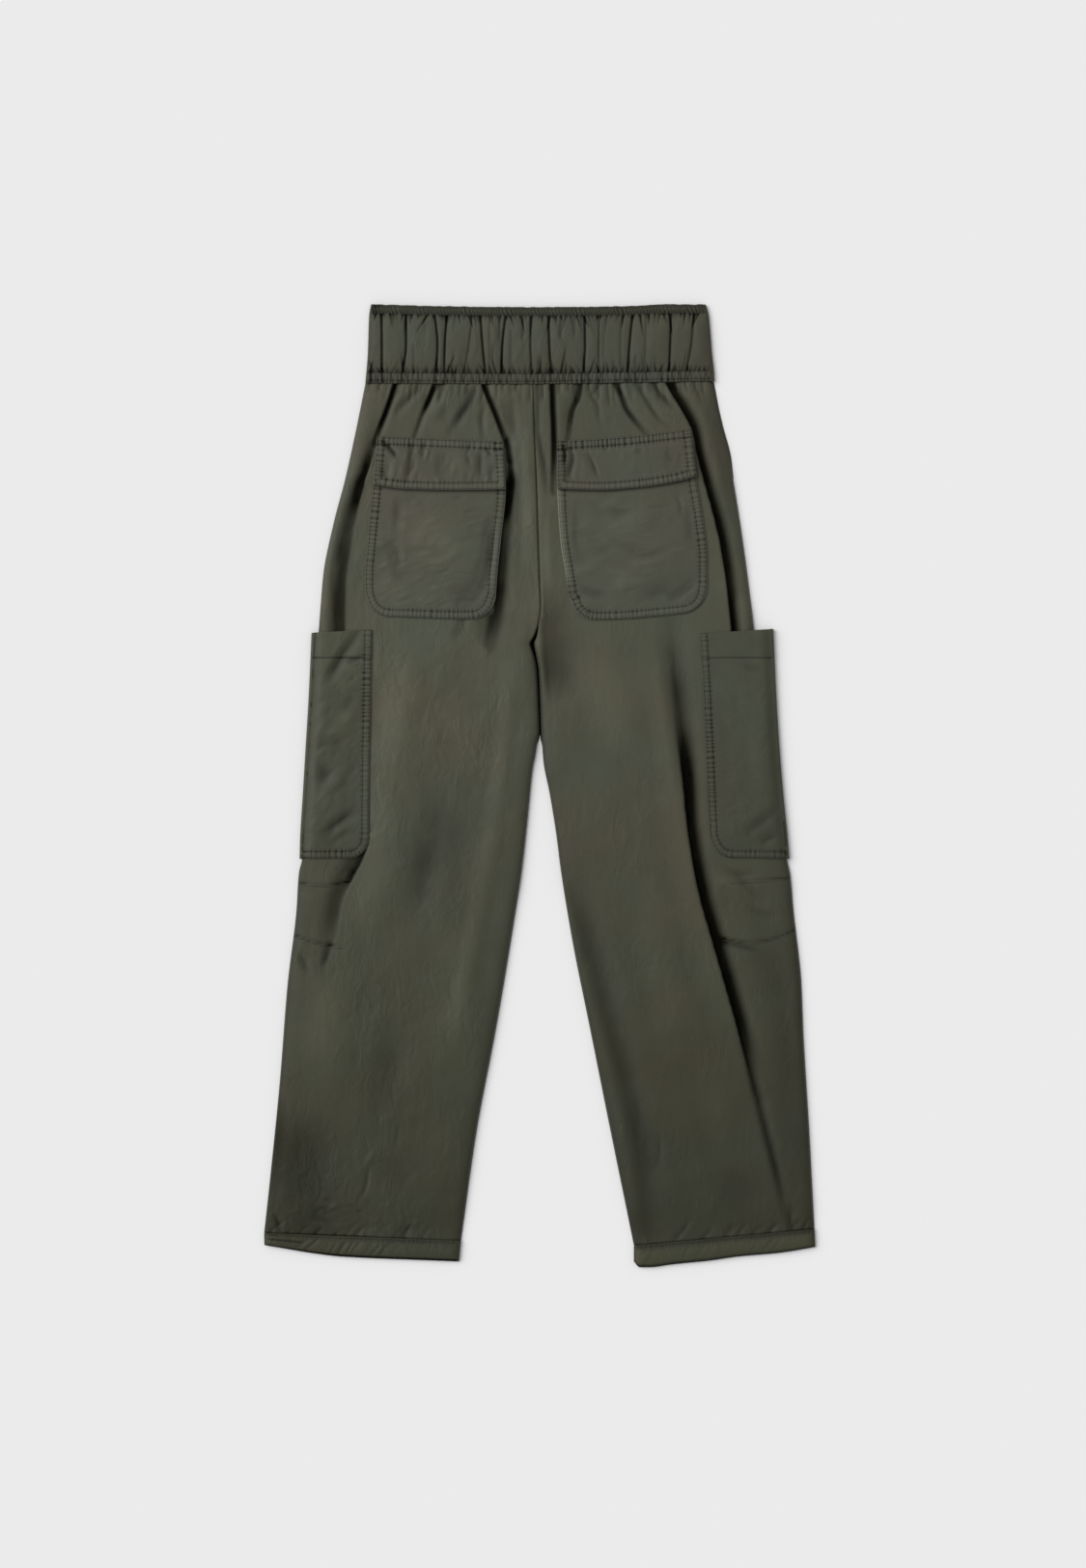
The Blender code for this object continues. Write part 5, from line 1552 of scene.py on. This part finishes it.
# %% [markdown]
# ## Hems
# The foot of each leg is turned up and stitched once, as a casing. Turned cloth on a curved edge
# twists, so the casing shows slanting wrinkles between its fold and its stitches.

# %% Edge and height of the hems
HEM_EDGE = {
    "left": ((-84, -493), (-110, -492), (-204, -488), (-238, -484), (-262, -480), (-285.5, -476)),
    "right": (
        (97, -493), (103, -499), (112, -499), (137, -496), (176, -492), (204, -488), (248, -484),
        (285, -478),
    ),
}
HEM_SWELL = ((0.0, 0.5), (0.12, 0.35), (0.3, 0.85), (0.6, 1.0), (0.85, 0.75), (1.0, 0.0))
HEM_PUFF, HEM_DEEPEST = 2.4, -0.4
HEM_HEIGHT = 26
HEM_ROW = 0.12  # the share of a casing's height at which its stitches run
HEM_SEEDS = {"left": 3, "right": 7}
TWIST = 0.55  # the share of its puff that a casing loses in its deepest twist
# Height of each part of a casing's relief, and how much painted shade it puts in its hollows.
TWISTED, SMALL, HEM_DENT, TUCK = Depth(0.0, 1.0), Depth(0.4, 1.1), Depth(0.5, 0.3), Depth(0.9, 1.3)
CASING_TONE = {"left": 0.4, "right": 1.0}
HEM_FOLD_SHADE = 2.4


def hem_spot(side, share, down):
    """A flat spot of a hem, across from its left side and down from its seam."""
    edges, (_, (inner_low, outer_low)) = LEG_EDGES[side], LEG_ENDS[side]
    across = 1 - share if side == "left" else share
    inner_x, outer_x = edges["inner"][-1][1], edges["outer"][-1][1]
    x = inner_x + across * (outer_x - inner_x)
    y = inner_low + across * (outer_low - inner_low) - GAP
    (low_start, _), *_, (low_end, _) = HEM_EDGE[side]
    low_x = low_start + across * (low_end - low_start)
    low_y = curve(HEM_EDGE[side], low_x)
    return x + down * (low_x - x), y + down * (low_y - y)


def hem_twist(side, x, down):
    """How strongly a casing is twisted at its spots, and how far it is tucked in at its end."""
    if side == "right":
        return 0.12 + 0.3 * np.sin(x / 23 + HEM_SEEDS[side]) ** 2, 0.0
    strength = 0.08 + 0.85 * smooth_step(-262, -240, x) * smooth_step(-135, -190, x)
    tuck = smooth_step(-243, -250, x) * smooth_step(-285, -278, x) * bell(down - 0.45, 0.09)
    return strength, tuck


def hem_relief(side, x, down):
    """The upper side of a hem above its flat tube, and its tone."""
    seed = HEM_SEEDS[side]
    strength, tuck = hem_twist(side, x, down)
    body = smooth_step(HEM_ROW, HEM_ROW + 0.2, down) * smooth_step(1.02, 0.7, down)
    valleys = 1 - pillows(x + 15 * down + 3 * np.sin(x / 11), seed, 9.5)
    twist = valleys * (0.7 + 0.4 * np.sin(x / 6.3 + 4 * down)) * strength * body
    small = (1 - pillows(x + 4 * down, seed + 1, 4.1)) * (0.4 + 0.6 * np.sin(x / 17 + seed) ** 2)
    dent = bell((down - HEM_ROW) * HEM_HEIGHT, 0.9)
    height = HEM_PUFF * curve(HEM_SWELL, down) * (1 - TWIST * twist)
    height -= SMALL.height * small * smooth_step(0.4, HEM_ROW, down)
    height -= HEM_DENT.height * dent + TUCK.height * tuck
    # The casing's foot, where it rolls under, is painted dark as shade.
    tone = CASING_TONE[side] * smooth_step(0.15, 0.4, down) - HEM_FOLD_SHADE * smooth_step(0.79, 0.95, down)
    tone -= TWISTED.tone * twist + SMALL.tone * small * smooth_step(0.36, 0.1, down)
    tone -= HEM_DENT.tone * dent + TUCK.tone * tuck
    return np.maximum(height, HEM_DEEPEST), tone


print("corners of the hems:", {side: HEM_EDGE[side][-1] for side in SIDES})

# %% Hems
HEM_COLUMNS, HEM_FACES_DOWN = (150, 8, 46), 22
HEM_THICK = 0.8
HEM_CUT = (400, 26)
HEM_END_ROUNDING = 9.0
FOLD_SHARE, FOLD_PINCH = 0.16, 0.75  # the foot of a casing over which its ring closes, and how far


def hem(side):
    """The casing at the foot of a leg, as a flattened ring."""
    upper, turn, lower = HEM_COLUMNS
    reach = TUBE_HEIGHT / 2

    def place(u, v):
        share, height, out, on_top = ring(u, upper, turn, lower)
        (left_x, _), (right_x, _) = (hem_spot(side, np.full(v.shape, end), v) for end in (0.0, 1.0))
        margin = reach / (right_x - left_x)
        spot = margin + share * (1 - 2 * margin) + out * margin
        x, y = hem_spot(side, spot, v)
        relief, tone = hem_relief(side, x, v)
        from_end = np.minimum(spot, 1 - spot) * (right_x - left_x) - reach
        relief = relief * quarter_round(from_end, HEM_END_ROUNDING)
        # The fold at the very edge is rounded, so the ring closes there.
        pinch = 1 - FOLD_PINCH * (1 - quarter_round(1 - v, FOLD_SHARE))
        z = TUBE_HEIGHT * (0.5 + (height - 0.5) * pinch) + np.where(on_top, relief, 0.0)
        return x, y, z, np.where(on_top, tone, UNDER_TONE * tone)

    columns = upper + lower + 2 * turn
    return cloth(f"hem_{side}", columns, HEM_FACES_DOWN, place, HEM_CUT, HEM_THICK, closed)


def hem_stitches(side):
    """The row of stitches that holds a hem."""
    row = np.column_stack(hem_spot(side, np.linspace(0.03, 0.97, 40), np.full(40, HEM_ROW)))

    def height(x, y):
        return TUBE_HEIGHT + hem_relief(side, x, np.full(x.shape, HEM_ROW))[0]

    return stitches(f"hem_{side}", [row], height, TUBE_THREAD_LIFT)


hems = {side: hem(side) for side in SIDES}
hem_threads = {side: hem_stitches(side) for side in SIDES}
report("hems", hems.values())
threads = [knee_threads, bag_threads, flap_threads, cargo_threads, hem_threads]
sewn = [thread for pair in threads for thread in pair.values()]
print("stitches:", count_stitches([*sewn, band_thread]))

# %% [markdown]
# ## Cotton
# The cloth is a light cotton poplin, sewn first and dyed afterwards, then washed. That gives the
# eye three things: a dark olive that wavers between greenish grey and brown over a hand's width,
# edges of the seams that have worn a little paler, and a low silky gloss, because the yarns are fine
# and the weave is close. The colour also carries painted light: fold bottoms and the valleys between
# the seams' pillows are painted darker as shade, and ridges and one pocket edge paler as highlights.

# %% Colours and node helper
def to_linear(colour):
    """An sRGB hex colour as linear red, green, blue and alpha."""
    parts = [int(colour[k : k + 2], 16) / 255 for k in (1, 3, 5)]
    parts = [c / 12.92 if c <= 0.04045 else ((c + 0.055) / 1.055) ** 2.4 for c in parts]
    return (*parts, 1.0)


def add(material, kind, settings=None, links=None):
    """Adds a node, sets its values and sockets, and links its inputs to other nodes' outputs, or to
    the first output of a node."""
    tree = material.node_tree
    node = tree.nodes.new("ShaderNode" + kind)
    for name, value in (settings or {}).items():
        if isinstance(name, str) and hasattr(node, name):
            setattr(node, name, value)
        else:
            node.inputs[name].default_value = value
    for name, source in (links or {}).items():
        output = source if isinstance(source, bpy.types.NodeSocket) else source.outputs[0]
        tree.links.new(output, node.inputs[name])
    return node


def matter(name, values):
    """A new material with some values of its shader set, and that shader."""
    material = bpy.data.materials.new(name)
    material.use_nodes = True
    shader = material.node_tree.nodes["Principled BSDF"]
    for socket, value in values.items():
        shader.inputs[socket].default_value = value
    return material, shader


def per_metre(size):
    """The scale of a texture whose pattern repeats after some millimetres."""
    return 1 / (size * MM)


def between(start, end, low=0.0, high=1.0):
    """Settings that turn one range of values into another."""
    return {"From Min": start, "From Max": end, "To Min": low, "To Max": high}


print("dark olive:", [round(part, 4) for part in to_linear("#404336")])

# %% Dye of the cotton
DYE_PATCH, DYE_CLOUD = 111.1, 38.46  # the dye drifts over a hand's width, and in small clouds
# How much paler the cloth gets along an axis: from where to where, and from what level to what.
LEG_FADES = (
    ("Y", -0.45, 0.16, 0.54, 1.17), ("Y", 0.27, 0.4, 1.0, 0.91), ("X", -0.28, 0.28, 1.05, 0.93),
)
POCKET_FADES = (("Y", -0.45, 0.24, 0.54, 1.08), ("X", -0.28, 0.28, 1.05, 0.93))
HEM_YELLOW, WHITE = (1.0, 1.0, 0.84, 1.0), (1.0, 1.0, 1.0, 1.0)
DARKEST = 0.04


def dye_and_painted_light(node, green, brown, fades, place, wear_and_painted_light):
    """The colour of the cloth: its dye and how that drifts, with the wear and the painted light and shade
    that the tone attribute carries.
    """
    patches = {"Scale": per_metre(DYE_PATCH), "Detail": 3.0, "Roughness": 0.55}
    hue = node("MapRange", between(0.38, 0.62), {"Value": node("TexNoise", patches, {"Vector": place})})
    olive = {"data_type": "RGBA", 6: to_linear(green), 7: to_linear(brown)}
    olive = node("Mix", olive, {"Factor": hue}).outputs[2]
    clouds = {"Scale": per_metre(DYE_CLOUD), "Detail": 5.0, "Roughness": 0.6}
    clouds = node("TexNoise", clouds, {"Vector": place})
    clouds = node("MapRange", between(0.25, 0.75, 0.92, 1.08), {"Value": clouds})
    level = node("Math", {"operation": "MULTIPLY_ADD", 1: 0.5}, {0: wear_and_painted_light, 2: clouds})
    spot = node("SeparateXYZ", links={"Vector": place}).outputs
    for axis, *fade in fades:
        faded = node("MapRange", between(*fade), {"Value": spot[axis]})
        level = node("Math", {"operation": "MULTIPLY"}, {0: level, 1: faded})
    level = node("Math", {"operation": "MAXIMUM", 1: DARKEST}, {0: level})
    tinted = node("VectorMath", {"operation": "SCALE"}, {0: olive, "Scale": level})
    # The hems have kept more of the dye's yellow than the seat.
    height = node("MapRange", between(-0.45, 0.0), {"Value": spot["Y"]})
    yellow = {"data_type": "RGBA", 6: HEM_YELLOW, 7: WHITE}
    yellow = node("Mix", yellow, {"Factor": height}).outputs[2]
    return node("VectorMath", {"operation": "MULTIPLY"}, {0: tinted, 1: yellow}).outputs[0]


print("the dye drifts over", DYE_PATCH, "mm and clouds over", DYE_CLOUD, "mm")

# %% Weave and crumples of the cotton
YARN = 1.1  # poplin has a yarn every 0.4 mm; this is drawn coarser, so that it shows at all
WAVE_PERIOD = 314  # millimetres between the bands of a Wave texture whose scale is 1
SLUB = 2.381  # how far a yarn runs before it gets thicker or thinner
HANDLED = 71.43  # the size of the patches that handling has crumpled
CRUMPLE_DEPTH = 16.67  # the crumples' size through the height of the cloth
WEAVE_HEIGHT, CRUMPLE_HEIGHT = 0.2 * MM, 1.8 * MM


def relief(node, crumpled, grain, place, flat):
    """The bumps of the cloth: its weave and uneven yarns, and the crumples of handling."""
    bands = {"wave_type": "BANDS", "Distortion": 1.2, "Detail": 1.0, "Detail Scale": 0.6}
    bands["Scale"] = WAVE_PERIOD / YARN
    yarns = [node("TexWave", {**bands, "bands_direction": way}, {"Vector": flat}) for way in "XY"]
    weave = node("Math", {"operation": "MAXIMUM"}, {k: yarn.outputs["Fac"] for k, yarn in enumerate(yarns)})
    slub = node("TexNoise", {"Scale": per_metre(SLUB), "Detail": 2.0}, {"Vector": flat})
    weave = node("Math", {"operation": "MULTIPLY_ADD", 1: 0.5}, {0: slub, 2: weave})
    weave = node("Bump", {"Strength": 0.35, "Distance": WEAVE_HEIGHT}, {"Height": weave})
    # Crumples are longer down the leg than across it, and come in patches.
    scale = tuple(per_metre(size) for size in (*grain, CRUMPLE_DEPTH))
    lengthways = node("Mapping", {"Scale": scale, "Rotation": (0.0, 0.0, -0.3)}, {"Vector": place})
    crumple = {"Scale": 1.0, "Detail": 4.0, "Roughness": 0.5, "Distortion": 0.8}
    crumple = node("TexNoise", crumple, {"Vector": lengthways})
    handled = node("TexNoise", {"Scale": per_metre(HANDLED), "Detail": 2.0}, {"Vector": place})
    handled = node("MapRange", between(0.35, 0.65, 0.2, 1.8), {"Value": handled})
    crumple = node("Math", {"operation": "MULTIPLY"}, {0: crumple, 1: handled})
    height = {"Strength": 0.55, "Distance": CRUMPLE_HEIGHT * crumpled}
    return node("Bump", height, {"Height": crumple, "Normal": weave}).outputs[0]


print("a yarn is drawn every", YARN, "mm")

# %% Cotton and thread
COTTON = {"Roughness": 0.52, "Sheen Weight": 0.05, "Sheen Roughness": 0.5}
# How long crumples are, across and along the page.
LEG_GRAIN, POCKET_GRAIN, CARGO_GRAIN = (11.765, 26.316), (31.25, 16.13), (20.83, 20.83)
TWIST_PITCH = 1.111  # thread turns every 0.7 mm; drawn coarser, so that it shows


def cotton(name, green, brown, crumpled=1.0, grain=LEG_GRAIN, fades=POCKET_FADES):
    """Garment-dyed cotton poplin: washed, a little crumpled, with a low gloss that fades out where the
    painted shade is deepest.
    crumpled says how deeply handling has creased it."""
    material, shader = matter(name, COTTON)
    node = partial(add, material)
    flat = node("UVMap", {"uv_map": "cloth"})
    place = node("TexCoord").outputs["Object"]
    wear_and_painted_light = node("Attribute", {"attribute_name": "tone"}).outputs["Fac"]
    inputs = {
        "Base Color": dye_and_painted_light(node, green, brown, fades, place, wear_and_painted_light),
        "Specular IOR Level": node("MapRange", between(-1.5, -0.4, 0.0, 0.22), {"Value": wear_and_painted_light}).outputs[0],
        "Normal": relief(node, crumpled, grain, place, flat),
    }
    for socket, source in inputs.items():
        material.node_tree.links.new(source, shader.inputs[socket])
    return material


def spun_thread(name, colour):
    """Spun polyester thread, dyed with the garment: a little darker, and matt."""
    material, shader = matter(name, {"Roughness": 0.7})
    node = partial(add, material)
    place = node("TexCoord").outputs["Object"]
    twist = node("TexNoise", {"Scale": per_metre(TWIST_PITCH), "Detail": 1.0}, {"Vector": place})
    dark = to_linear(colour)
    pale = (*(1.5 * part for part in dark[:3]), 1.0)
    dyed = node("Mix", {"data_type": "RGBA", 6: dark, 7: pale}, {"Factor": twist}).outputs[2]
    material.node_tree.links.new(dyed, shader.inputs["Base Color"])
    return material


print("crumples of the legs:", LEG_GRAIN, "mm")

# %% Finish the pieces
LEG_COTTON = {
    side: cotton(f"olive cotton poplin, {side} leg", "#404336", "#444234", crumpled, fades=LEG_FADES)
    for side, crumpled in (("left", 1.1), ("right", 0.6))
}
POCKET_COTTON = cotton("olive cotton poplin, back pockets", "#43463a", "#464438", grain=POCKET_GRAIN)
CARGO_COTTON = cotton("olive cotton poplin, cargo pockets", "#3f4335", "#424234", grain=CARGO_GRAIN)
BAND_COTTON = cotton("olive cotton poplin, waistband", "#393c30", "#3b392d")
THREAD = spun_thread("olive thread", "#1f1f1a")


def dress(piece, material):
    """Gives a piece its material."""
    piece.data.materials.append(material)


for side in SIDES:
    for panels in (backs, fronts, hems):
        dress(panels[side], LEG_COTTON[side])
    for pockets in (bags, flaps):
        dress(pockets[side], POCKET_COTTON)
    dress(cargos[side], CARGO_COTTON)
for thread in sewn:
    dress(thread, THREAD)
dress(band, BAND_COTTON)
dress(band_thread, THREAD)
print("materials:", sorted(material.name for material in bpy.data.materials))

# %% [markdown]


# %% [markdown]
# ## Floor, light and camera
# A pale floor, lit evenly: a sun with a wide disc stands high on the upper left, as a large
# softbox would, and a white sky fills the shadows. The camera looks straight down.

# %% Stage
FLOOR_SIZE, FLOOR_DROP = 12.0, 0.0002
FRAME_HEIGHT = 1.625
VIEW_CENTRE = (0.003, 0.0015)
CAMERA_HEIGHT = 3.4
SENSOR = 36.0
SUN_WAY, SUN_WIDTH, SUN_STRENGTH = (0.66, -0.30, -0.69), 52, 2.52
SKY_STRENGTH = 0.5


def stage_floor():
    """A matt pale floor just under the cloth."""
    plane = bmesh.new()
    bmesh.ops.create_grid(plane, x_segments=1, y_segments=1, size=FLOOR_SIZE / 2)
    floor = put("floor", plane)
    floor.location.z = -FLOOR_DROP
    paint = {"Base Color": to_linear("#e6e6e6"), "Roughness": 0.9, "Specular IOR Level": 0.0}
    floor.data.materials.append(matter("matt studio floor", paint)[0])


def soft_light():
    """A wide sun from the upper left and a white sky."""
    sun = bpy.data.lights.new("softbox", "SUN")
    sun.energy = SUN_STRENGTH
    sun.angle = math.radians(SUN_WIDTH)
    lamp = bpy.data.objects.new("softbox", sun)
    bpy.context.scene.collection.objects.link(lamp)
    lamp.rotation_euler = Vector(SUN_WAY).to_track_quat("-Z", "Y").to_euler()
    sky = bpy.data.worlds.new("sky")
    sky.use_nodes = True
    white = sky.node_tree.nodes["Background"].inputs
    white["Color"].default_value = WHITE
    white["Strength"].default_value = SKY_STRENGTH
    bpy.context.scene.world = sky


def overhead_camera():
    """A camera straight above, whose frame is FRAME_HEIGHT high on the floor."""
    lens = bpy.data.cameras.new("overhead")
    lens.sensor_width = SENSOR
    lens.lens = SENSOR * CAMERA_HEIGHT / FRAME_HEIGHT
    camera = bpy.data.objects.new("overhead", lens)
    bpy.context.scene.collection.objects.link(camera)
    camera.location = (*VIEW_CENTRE, CAMERA_HEIGHT)
    bpy.context.scene.camera = camera


stage_floor()
soft_light()
overhead_camera()
bpy.context.scene.view_settings.view_transform = "Standard"
print("camera:", CAMERA_HEIGHT, "m above the floor")
